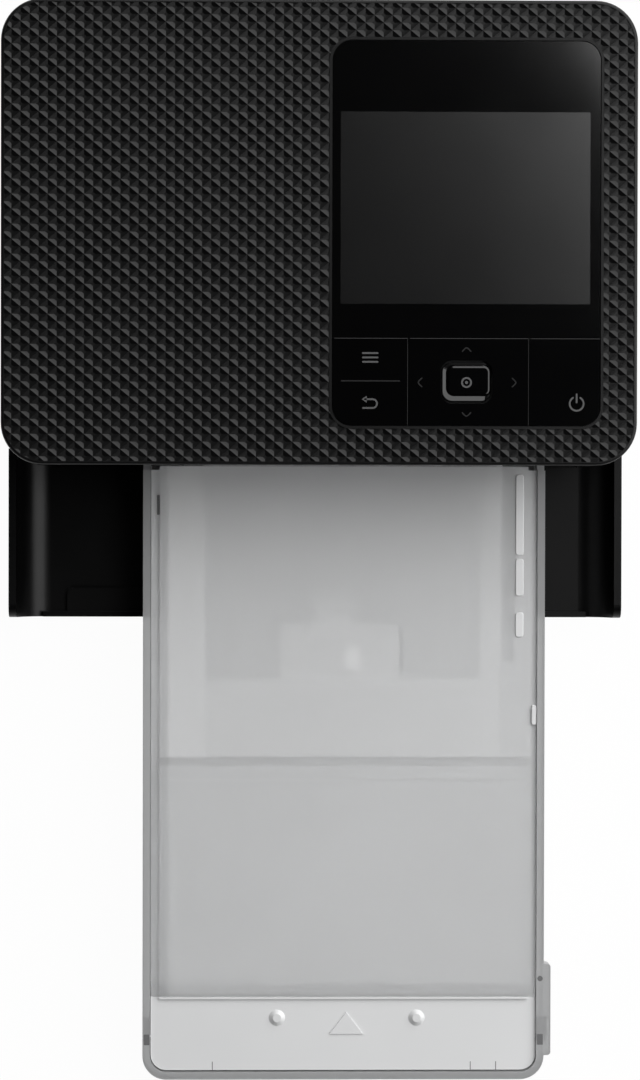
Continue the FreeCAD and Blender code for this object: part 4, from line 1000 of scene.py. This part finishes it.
@dataclass
class ControlPanel:
    """The glass, the keys and the marks on them, with places from the printer's middle and front face."""

    places: Places
    screen_centre: Point = (41.7 * MM, 73.6 * MM)
    screen_size: Point = (71.6 * MM, 55.0 * MM)
    mark_width: float = 0.5 * MM
    faint_width: float = 0.36 * MM
    menu_at: Point = (14.5 * MM, 30.8 * MM)
    menu_half: float = 2.1 * MM
    menu_pitch: float = 1.25 * MM
    back_at: Point = (15.2 * MM, 17.6 * MM)
    back_radius: float = 1.25 * MM
    back_steps: int = 12
    back_tail: float = 2.7 * MM
    head_reach: float = 3.1 * MM
    head_length: float = 1.4 * MM
    head_half: float = 1.0 * MM
    bar_x: Span = (6.3 * MM, 22.9 * MM)
    bar_y: float = 24.1 * MM
    ok_at: Point = (42.1 * MM, 23.7 * MM)
    ok_ring: float = 1.3 * MM
    ok_ring_points: int = 30
    ok_dot: float = 0.45 * MM
    ok_dot_points: int = 12
    chevron: float = 1.2 * MM
    chevron_tip: float = 0.45
    chevron_sweep: float = 0.85
    chevron_curve: float = 1.5
    chevron_steps: int = 4
    chevron_reaches: tuple[float, ...] = (13.6 * MM, 9.4 * MM, 13.3 * MM, 9.1 * MM)
    power_at: Point = (73.7 * MM, 17.7 * MM)
    power_radius: float = 2.0 * MM
    power_gap: float = 64.0
    power_steps: int = 26
    power_line: Span = (0.4 * MM, 2.7 * MM)
    key_gap: float = 0.25 * MM
    bevel_width: float = 0.2 * MM
    bevel_drop: float = 0.09 * MM
    bevel_end: float = 0.5 * MM
    seam_width: float = 0.13 * MM
    leg_radius: float = 1.5 * MM
    leg_points: int = 24
    cap_rings: tuple[CapRing, ...] = (CapRing(0.0, 0.0, 0.0, 0.0, 2.8, 0.04),
                                      CapRing(0.04, 0.04, 0.04, 0.04, 2.76, 0.0),
                                      CapRing(0.1, 0.1, 0.35, 0.1, 2.7, 0.0),
                                      CapRing(1.05, 0.25, 1.75, 0.9, 2.1, 0.52),
                                      CapRing(1.45, 0.3, 1.85, 1.1, 1.9, 0.5),
                                      CapRing(1.7, 0.37, 2.0, 1.18, 1.6, 0.1),
                                      CapRing(2.0, 0.75, 2.2, 1.6, 1.3, 0.02))

    def build(self) -> None:
        """Dresses the panel and adds its marks."""
        glass = ScreenGlass("panel_glass_black", self.spot(self.screen_centre), self.screen_size)
        dress(glass.make(), "panel_glass")
        dress(Paintbox.get(Paint.KEYS), "menu_back_key", "navigation_key", "ok_key", "power_key")
        dress(Paintbox.get(Paint.BLACK_PART), "screen_module", "key_board", "navigation_pivot")
        marks = (("menu_back_marks", self.menu_back_marks, "menu_back_key", Paint.MARKS),
                 ("menu_back_divider", self.divider, "menu_back_key", Paint.FAINT),
                 ("direction_marks", self.direction_marks, "navigation_key", Paint.FAINT),
                 ("ok_mark", self.ok_mark, "ok_key", Paint.MARKS),
                 ("power_mark", self.power_mark, "power_key", Paint.MARKS))
        for name, draw, key, paint in marks:
            placed(name, draw().mesh(name), key, Paintbox.get(paint))
        cap = placed("ok_cap", self.ok_cap(), "ok_key", Paintbox.get(Paint.CAP))
        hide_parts("ok_key")
        for key, has_right in (("menu_back_key", True), ("navigation_key", True), ("power_key", False)):
            placed(key + "_edge", self.key_edge(key, has_right), key, Paintbox.get(Paint.TOP))

    def spot(self, point: Point) -> Point:
        """A place on the panel, whose Y is counted from the printer's front face."""
        return (point[0], point[1] + self.places.front)

    def strokes(self, width: float, drop: float = 0.0) -> Strokes:
        """New strokes on the keys' upper faces, or that far below them."""
        return Strokes(self.places.key_high.z - drop, width)

    def menu_back_marks(self) -> Strokes:
        """Draws three bars and a bent arrow.

        Returns:
            The strokes.
        """
        strokes = self.strokes(self.mark_width)
        x, y = self.spot(self.menu_at)
        for row in (-1, 0, 1):
            level = y + row * self.menu_pitch
            strokes.line([(x - self.menu_half, level), (x + self.menu_half, level)])
        x, y = self.spot(self.back_at)
        upper, lower = y + self.back_radius, y - self.back_radius
        tip = x - self.head_reach
        base = tip + self.head_length
        curl = arc((x, y), self.back_radius, 90, -90, self.back_steps)
        strokes.line([(base - self.mark_width, upper)] + curl + [(x - self.back_tail, lower)])
        strokes.patch([(tip, upper), (base, upper - self.head_half), (base, upper + self.head_half)])
        return strokes

    def divider(self) -> Strokes:
        """Draws the thin line between the two halves of the left key.

        Returns:
            The strokes.
        """
        strokes = self.strokes(self.faint_width)
        strokes.line([self.spot((x, self.bar_y)) for x in self.bar_x])
        return strokes

    def direction_marks(self) -> Strokes:
        """Draws the four curved chevrons about the middle key: right, far, left and near.

        Returns:
            The strokes.
        """
        strokes = self.strokes(self.faint_width)
        x, y = self.spot(self.ok_at)
        steps = range(-self.chevron_steps, self.chevron_steps + 1)
        for quarter, reach in enumerate(self.chevron_reaches):
            cos, sin = math.cos(math.radians(90 * quarter)), math.sin(math.radians(90 * quarter))
            points = []
            for side in (step / self.chevron_steps for step in steps):
                bend = self.chevron_tip - self.chevron_sweep * abs(side) ** self.chevron_curve
                along, across = reach + self.chevron * bend, self.chevron * side
                points.append((x + along * cos - across * sin, y + along * sin + across * cos))
            strokes.line(points)
        return strokes

    def ok_mark(self) -> Strokes:
        """Draws a small ring with a dot, on the middle key.

        Returns:
            The strokes.
        """
        strokes = self.strokes(self.mark_width, self.cap_rings[-1].drop * MM)
        centre = self.spot(self.ok_at)
        strokes.line(circle(centre, self.ok_ring, self.ok_ring_points), closed=True)
        strokes.patch(circle(centre, self.ok_dot, self.ok_dot_points))
        return strokes

    def power_mark(self) -> Strokes:
        """Draws a broken ring with an upright line.

        Returns:
            The strokes.
        """
        strokes = self.strokes(self.mark_width)
        x, y = self.spot(self.power_at)
        half_gap = self.power_gap / 2
        strokes.line(arc((x, y), self.power_radius, 90 + half_gap, 450 - half_gap, self.power_steps))
        strokes.line([(x, y + reach) for reach in self.power_line[::-1]])
        return strokes

    def ok_cap(self) -> bpy.types.Mesh:
        """Makes the middle key: a low cap in a sloping well, with its leg.

        Returns:
            The mesh.
        """
        low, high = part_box("ok_key")
        x, y = (low.x, high.x), (low.y, high.y)
        bottom = self.places.glass_low.z
        outlines = [(ring.outline(x, y), high.z - ring.drop * MM) for ring in self.cap_rings]
        leg = circle(((x[0] + x[1]) / 2, (y[0] + y[1]) / 2), self.leg_radius, self.leg_points)
        shape = bmesh.new()
        lofted(shape, [(outlines[0][0], bottom)] + outlines)
        lofted(shape, [(leg, low.z), (leg, bottom)])
        return mesh_of(shape, "ok_cap")

    def key_edge(self, key: str, has_right: bool) -> bpy.types.Mesh:
        """Makes the bevels on a key's upper edges that catch the light.

        Args:
            key: The key's node.
            has_right: Whether its right edge meets another key.

        Returns:
            The bevels as thin closed strips.
        """
        low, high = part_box(key)
        back = self.places.glass_low.y - self.key_gap
        strips = Strips(high.z, self.bevel_drop)
        strips.add((low.x + self.bevel_end, back), (high.x, back), (0.0, self.bevel_width))
        if has_right:
            strips.add((high.x, back), (high.x, low.y), (self.seam_width, 0.0))
        return strips.mesh(key + "_edge")


@dataclass
class Case:
    """The black outer shells, the cover, the door and the feet."""

    places: Places
    strip_inset: float = 11.3 * MM
    strip_section: tuple[Point, ...] = ((-2.4, 0.12), (0.9, 0.12), (0.9, 1.5),
                                        (-0.3, 1.5), (-0.3, 0.45), (-2.4, 0.45))
    ledge_x: Span = (-72.2 * MM, 51.9 * MM)
    ledge_top: float = 4.09 * MM
    ledge_length: float = 8.55 * MM
    ledge_slope: float = 0.36 * MM

    def build(self) -> None:
        """Dresses the outside of the printer."""
        case = Paintbox.get(Paint.CASE)
        dress(case, "lower_case", "front_cover", "ink_door", "rear_panel")
        dress(Paintbox.get(Paint.TOP), "top_cover")
        dress(Paintbox.get(Paint.RUBBER), "rubber_feet")
        dress(Paintbox.get(Paint.STEEL), "case_screws", "cover_hinge_pins", "ink_door_pins")
        # A dark strip stands in for the shade in the gap under the cover's sill.
        placed("cover_gap_shade_strip", self.gap_shade_strip(), "housing", case)
        placed("cover_ledge_edge", self.ledge_edge(), "front_cover", case)

    def ledge_edge(self) -> bpy.types.Mesh:
        """Makes the sloping edge of the low ledge inside the open cover.

        Returns:
            The mesh.
        """
        low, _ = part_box("front_cover")
        back = low.y + self.ledge_length
        strips = Strips(self.ledge_top, self.ledge_slope)
        strips.add((self.ledge_x[0], back), (self.ledge_x[1], back), (0.0, 2 * self.ledge_slope))
        return strips.mesh("cover_ledge_edge")

    def gap_shade_strip(self) -> bpy.types.Mesh:
        """Makes the dark strip under the sill that closes the gap between the case and the open cover,
        standing in for the shade in that gap.

        Returns:
            The mesh.
        """
        low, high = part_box("front_cover")
        section = [(self.places.front + y, z) for y, z in metres(self.strip_section)]
        shape = bmesh.new()
        left, right = ([shape.verts.new((x, *point)) for point in section]
                       for x in widened((low.x, high.x), -self.strip_inset))
        shape.faces.new(left)
        shape.faces.new(right[::-1])
        for (near, far), (next_near, next_far) in pairs(list(zip(left, right))):
            shape.faces.new((next_near, near, far, next_far))
        bmesh.ops.recalc_face_normals(shape, faces=shape.faces)
        return mesh_of(shape, "cover_gap_shade_strip")


@dataclass
class PaperCassette:
    """The frosted paper cassette with its two lids, in millimetres from the printer's middle."""

    lid_top: float = 24.0
    lid_raised: float = 24.7
    wall_top: float = 25.0
    sunk: float = 0.1
    film: float = 0.02
    bar_steps: int = 3
    slope_share: float = 0.25
    rib_x: Span = (58.7, 61.1)
    rib_rows: tuple[Span, ...] = ((-2.3, 21.5), (-14.4, -3.3), (-26.5, -19.1))
    rib_height: float = 0.35
    rib_corner: float = 0.8
    catch_x: Span = (63.6, 65.0)
    catch_y: Span = (-52.4, -46.5)
    catch_height: float = 0.8
    catch_corner: float = 0.6
    groove_x: Span = (-47.0, -46.1)
    groove_y: Span = (9.4, 15.3)
    groove_corner: float = 0.2
    lines_x: tuple[float, ...] = (-30.4, 45.8, 53.3)
    lines_y: Span = (-154.4, -151.9)
    line_half: float = 0.12
    line_corner: float = 0.06
    nicks_x: tuple[Span, ...] = ((-50.6, -48.9), (65.4, 67.2))
    nicks_y: Span = (-146.9, -143.7)
    nick_corner: float = 0.2
    hole_at: Point = (66.3, -127.3)
    hole_radius: float = 0.8
    hole_points: int = 24
    arrow_tip: Point = (9.1, -137.5)
    arrow_size: Point = (9.7, 6.2)
    arrow_height: float = 0.3
    clear_from: float = -133.0
    # Bands and spots of the outer lid that are clearer where the change is above 0, and milkier below it.
    # Clearer shows darker and milkier shows lighter, so these paint shade and light for the shadows, rims and
    # lighter columns seen through the lid.
    shading_patches: tuple[PaintedShadingPatch, ...] = (PaintedShadingPatch((-43.7, -32.8), (-62.0, 40.0), 2.5, -0.2),
                                      PaintedShadingPatch((48.2, 54.1), (-62.0, 40.0), 2.0, -0.1),
                                      PaintedShadingPatch((-32.8, 48.2), (-60.5, -39.1), 2.5, -0.1),
                                      PaintedShadingPatch((-10.7, 24.4), (-40.0, -22.9), 3.0, -0.11),
                                      PaintedShadingPatch((-0.5, 11.0), (-24.0, -14.5), 4.5, -0.1),
                                      PaintedShadingPatch((8.6, 13.0), (-36.0, -29.5), 3.0, -0.2),
                                      PaintedShadingPatch((24.4, 25.6), (-37.0, -23.8), 0.8, 0.12),
                                      PaintedShadingPatch((55.0, 58.4), (-34.0, 40.0), 3.0, 0.16),
                                      PaintedShadingPatch((-47.0, 63.0), (-64.5, -61.8), 0.8, 0.09),
                                      PaintedShadingPatch((-47.0, 63.0), (-69.2, -68.2), 0.8, 0.05),
                                      PaintedShadingPatch((-60.0, 70.0), (-140.0, -62.0), 0.8, 0.09),
                                      PaintedShadingPatch((-60.0, -43.4), (-140.0, 40.0), 2.0, 0.16),
                                      PaintedShadingPatch((-47.0, 63.0), (-134.0, -129.0), 4.0, 0.14))

    def build(self) -> None:
        """Dresses the cassette and adds what stands on it."""
        fittings = (("lid_ribs", self.ribs, "outer_lid", "lid", Paint.LID_WHITE),
                    ("lid_arrow", self.arrow, "outer_lid", "lid", Paint.LID_WHITE),
                    # The dark groove and nick plates paint the shade in recesses.
                    ("lid_groove_shade", self.grooves, "outer_lid", "lid", Paint.SLOT_SHADE),
                    ("tray_nick_shade", self.nicks, "cassette", "tray", Paint.SLOT_SHADE))
        for name, draw, body, slot, paint in fittings:
            placed(name, mesh_of(draw(), name), body, Paintbox.get(paint))
        lid = FrostedPlastic("lid_frosted", (0.69, 0.694, 0.698), (0.97, 0.975, 0.98), clearness=0.42,
                             roughness=0.32, clear_from=self.clear_from * MM, shading_patches=self.shading_patches)
        dress(lid.make(), "outer_lid")
        dress(Paintbox.get(Paint.TRAY), "cassette_tray")
        dress(Paintbox.get(Paint.INNER_LID), "inner_lid")
        dress(Paintbox.get(Paint.STEEL), "lift_plate", "lid_pins")

    def bar(self, shape: bmesh.types.BMesh, x: Span, y: Span, level: float, height: float,
            corner: float) -> None:
        """Adds a low bar with softened upper edges.

        Args:
            shape: The shape that it is added to.
            x: Its left and right side.
            y: Its near and far end.
            level: The height of the face that it lies on.
            height: How high it stands over that face.
            corner: The radius of its corners, a share of which is the slope of its upper edges.
        """
        slope = corner * self.slope_share
        top = level + height
        upper_x, upper_y = widened(x, -slope), widened(y, -slope)
        outline = metres(rounded_outline(x, y, corner, self.bar_steps))
        upper = metres(rounded_outline(upper_x, upper_y, corner - slope, self.bar_steps))
        lofted(shape, [(outline, (level - self.sunk) * MM), (outline, (top - slope) * MM), (upper, top * MM)])

    def plate(self, shape: bmesh.types.BMesh, outline: list[Point], level: float) -> None:
        """Adds a thin plate with an anticlockwise outline, just over a face."""
        ring = metres(outline)
        lofted(shape, [(ring, (level - self.sunk) * MM), (ring, (level + self.film) * MM)])

    def ribs(self) -> bmesh.types.BMesh:
        """Makes the ribs and the catch on the outer lid.

        Returns:
            Their shape.
        """
        shape = bmesh.new()
        for row in self.rib_rows:
            self.bar(shape, self.rib_x, row, self.lid_raised, self.rib_height, self.rib_corner)
        self.bar(shape, self.catch_x, self.catch_y, self.lid_top, self.catch_height, self.catch_corner)
        return shape

    def arrow(self) -> bmesh.types.BMesh:
        """Makes the upper face of the raised triangle on the outer lid.

        Returns:
            Its shape.
        """
        (x, y), (width, length) = self.arrow_tip, self.arrow_size
        outline = [(x - width / 2, y - length), (x + width / 2, y - length), (x, y)]
        shape = bmesh.new()
        self.plate(shape, outline, self.lid_top + self.arrow_height)
        return shape

    def grooves(self) -> bmesh.types.BMesh:
        """Makes thin dark plates on the outer lid, painted shade where its groove and its fine gaps are.

        Returns:
            Their shape.
        """
        shape = bmesh.new()
        self.bar(shape, self.groove_x, self.groove_y, self.lid_top, self.film, self.groove_corner)
        for x in self.lines_x:
            sides = widened((x, x), self.line_half)
            self.bar(shape, sides, self.lines_y, self.lid_top, self.film, self.line_corner)
        return shape

    def nicks(self) -> bmesh.types.BMesh:
        """Makes thin dark plates on the tray's wall, painted shade where its nicks and its hole are.

        Returns:
            Their shape.
        """
        shape = bmesh.new()
        for x in self.nicks_x:
            self.bar(shape, x, self.nicks_y, self.wall_top, self.film, self.nick_corner)
        self.plate(shape, circle(self.hole_at, self.hole_radius, self.hole_points), self.wall_top)
        return shape


@dataclass
class Mechanism:
    """The rollers, gears, motors, boards and ribbon inside the case."""

    def build(self) -> None:
        """Dresses the inner nodes."""
        groups = {
            Paint.STEEL: ("gear_axles", "platen_shaft", "capstan_roller", "pinch_roller", "pickup_shaft",
                          "head_shaft", "head_spring"),
            Paint.SHEET: ("base_plate", "chassis_left", "chassis_right", "gear_plate", "feed_motor",
                          "ribbon_motor", "head_bracket", "card_slot", "exit_guide"),
            Paint.SINK: ("thermal_head",),
            Paint.RUBBER: ("platen_rubber", "pickup_tyre"),
            Paint.GEARS: ("platen_gear", "capstan_gear", "pickup_gear", "feed_pinion", "feed_idler",
                          "rear_pick_idler", "front_pick_idler", "ribbon_pinion", "take_up_gear",
                          "supply_spool", "take_up_spool", "release_lever", "roller_bushes"),
            Paint.BOARD: ("main_board",),
            Paint.BLACK_PART: ("power_inlet", "rear_guide", "cassette_guides"),
            Paint.RIBBON_CASE: ("ribbon_case",),
            Paint.FILM: ("ribbon_film",)}
        for paint, names in groups.items():
            dress(Paintbox.get(paint), *names)


@dataclass
class Studio:
    """The floor, the light, the camera and what lies around them."""

    places: Places
    image: Point = (640.0, 1080.0)
    axis_pixel: Point = (222.0, 480.0)
    focal_pixels: float = 3964.5
    stand: Point = (-27.8 * MM, 19.75 * MM)
    distance: float = 1134.0 * MM
    roll: float = 0.1
    sensor: float = 36.0
    clip: Span = (0.05, 20.0)
    floor_reach: float = 3.0
    floor_colour: Colour = (0.8, 0.8, 0.8)
    floor_roughness: float = 0.9
    whiteness: float = 0.97
    key_turn: float = 38.0
    key_roll: float = -10.0
    key_tilt: float = 45.0
    key_far: float = 1.35
    key_size: Point = (2.8, 1.69)
    key_power: float = 46.0
    key_aim: float = 0.03
    horizon: float = 0.3
    zenith: float = 0.01
    zenith_from: float = 0.75
    glint: float = 0.45

    def build(self) -> None:
        """Sets up everything that isn't part of the printer."""
        self.camera()
        self.floor()
        self.key_light()
        self.world()
        bpy.context.scene.view_settings.view_transform = "Standard"

    def camera(self) -> None:
        """Looks down from where the photograph was taken."""
        lens = bpy.data.cameras.new("camera")
        lens.sensor_width = self.sensor
        lens.lens = self.focal_pixels / self.image[1] * self.sensor
        lens.clip_start, lens.clip_end = self.clip
        camera = bpy.data.objects.new("camera", lens)
        camera.location = (*self.stand, self.places.top + self.distance)
        backward = Vector(((self.axis_pixel[0] - self.image[0] / 2) / self.focal_pixels,
                           (self.image[1] / 2 - self.axis_pixel[1]) / self.focal_pixels, 1.0)).normalized()
        right = (Vector((1.0, 0.0, 0.0)) - backward * backward.x).normalized()
        turn = Matrix((right, backward.cross(right), backward)).transposed()
        camera.rotation_euler = (turn @ Matrix.Rotation(math.radians(self.roll), 3, "Z")).to_euler()
        bpy.context.scene.collection.objects.link(camera)
        bpy.context.scene.camera = camera

    def floor(self) -> None:
        """A pale floor that the camera sees as white and that keeps the printer's shadow."""
        mesh = bpy.data.meshes.new("floor")
        reach = self.floor_reach
        mesh.from_pydata([(-reach, -reach, 0), (reach, -reach, 0), (reach, reach, 0), (-reach, reach, 0)],
                         [], [(0, 1, 2, 3)])
        floor = bpy.data.objects.new("floor", mesh)
        bpy.context.scene.collection.objects.link(floor)
        surface = Surface("floor_white")
        surface.set(Base_Color=self.floor_colour, Roughness=self.floor_roughness)
        glow = surface.signal("ShaderNodeEmission", {}, {"Color": WHITE, "Strength": 1.0})
        seen = (surface.background() + surface.mirrored()) * self.whiteness
        surface.show(surface.mixed(seen, surface.plain, glow))
        mesh.materials.append(surface.material)

    def key_light(self) -> None:
        """One large soft box behind the printer's right side."""
        light = bpy.data.lights.new("soft_box", "AREA")
        light.shape = "RECTANGLE"
        light.size, light.size_y = self.key_size
        light.energy = self.key_power
        lamp = bpy.data.objects.new("soft_box", light)
        turn, tilt = math.radians(self.key_turn), math.radians(self.key_tilt)
        aside, up = self.key_far * math.sin(tilt), self.key_far * math.cos(tilt)
        place = Vector((aside * math.cos(turn), aside * math.sin(turn), up))
        facing = (Vector((0.0, 0.0, self.key_aim)) - place).to_track_quat("-Z", "Y").to_matrix()
        lamp.location = place
        lamp.rotation_euler = (facing @ Matrix.Rotation(math.radians(self.key_roll), 3, "Z")).to_euler()
        lamp.visible_camera = False
        bpy.context.scene.collection.objects.link(lamp)

    def world(self) -> None:
        """White for the camera, and for the rest a sky that is bright at the horizon and dark above."""
        world = bpy.data.worlds.new("studio")
        bpy.context.scene.world = world
        sky = Shading(world, "ShaderNodeOutputWorld")
        height = sky.split(sky.signal("ShaderNodeTexCoord", {}, {}, "Generated"))[2]
        overhead = height.above(0.0, self.zenith_from)
        level = overhead.between(self.horizon, self.zenith)
        dim = sky.signal("ShaderNodeBackground", {}, {"Color": WHITE, "Strength": level})
        white = sky.signal("ShaderNodeBackground", {}, {"Color": WHITE, "Strength": 1.0})
        seen = sky.background() + sky.mirrored() * (1 - overhead) * self.glint
        sky.show(sky.mixed(seen, dim, white))


def main() -> None:
    """Builds the printer's looks."""
    logging.basicConfig(level=logging.INFO, format="%(message)s")
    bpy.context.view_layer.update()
    places = Places()
    parts = (TexturedTop(places), ControlPanel(places), Case(places), PaperCassette(), Mechanism(),
             Studio(places))
    for part in parts:
        part.build()


if __name__ == "__main__":
    main()
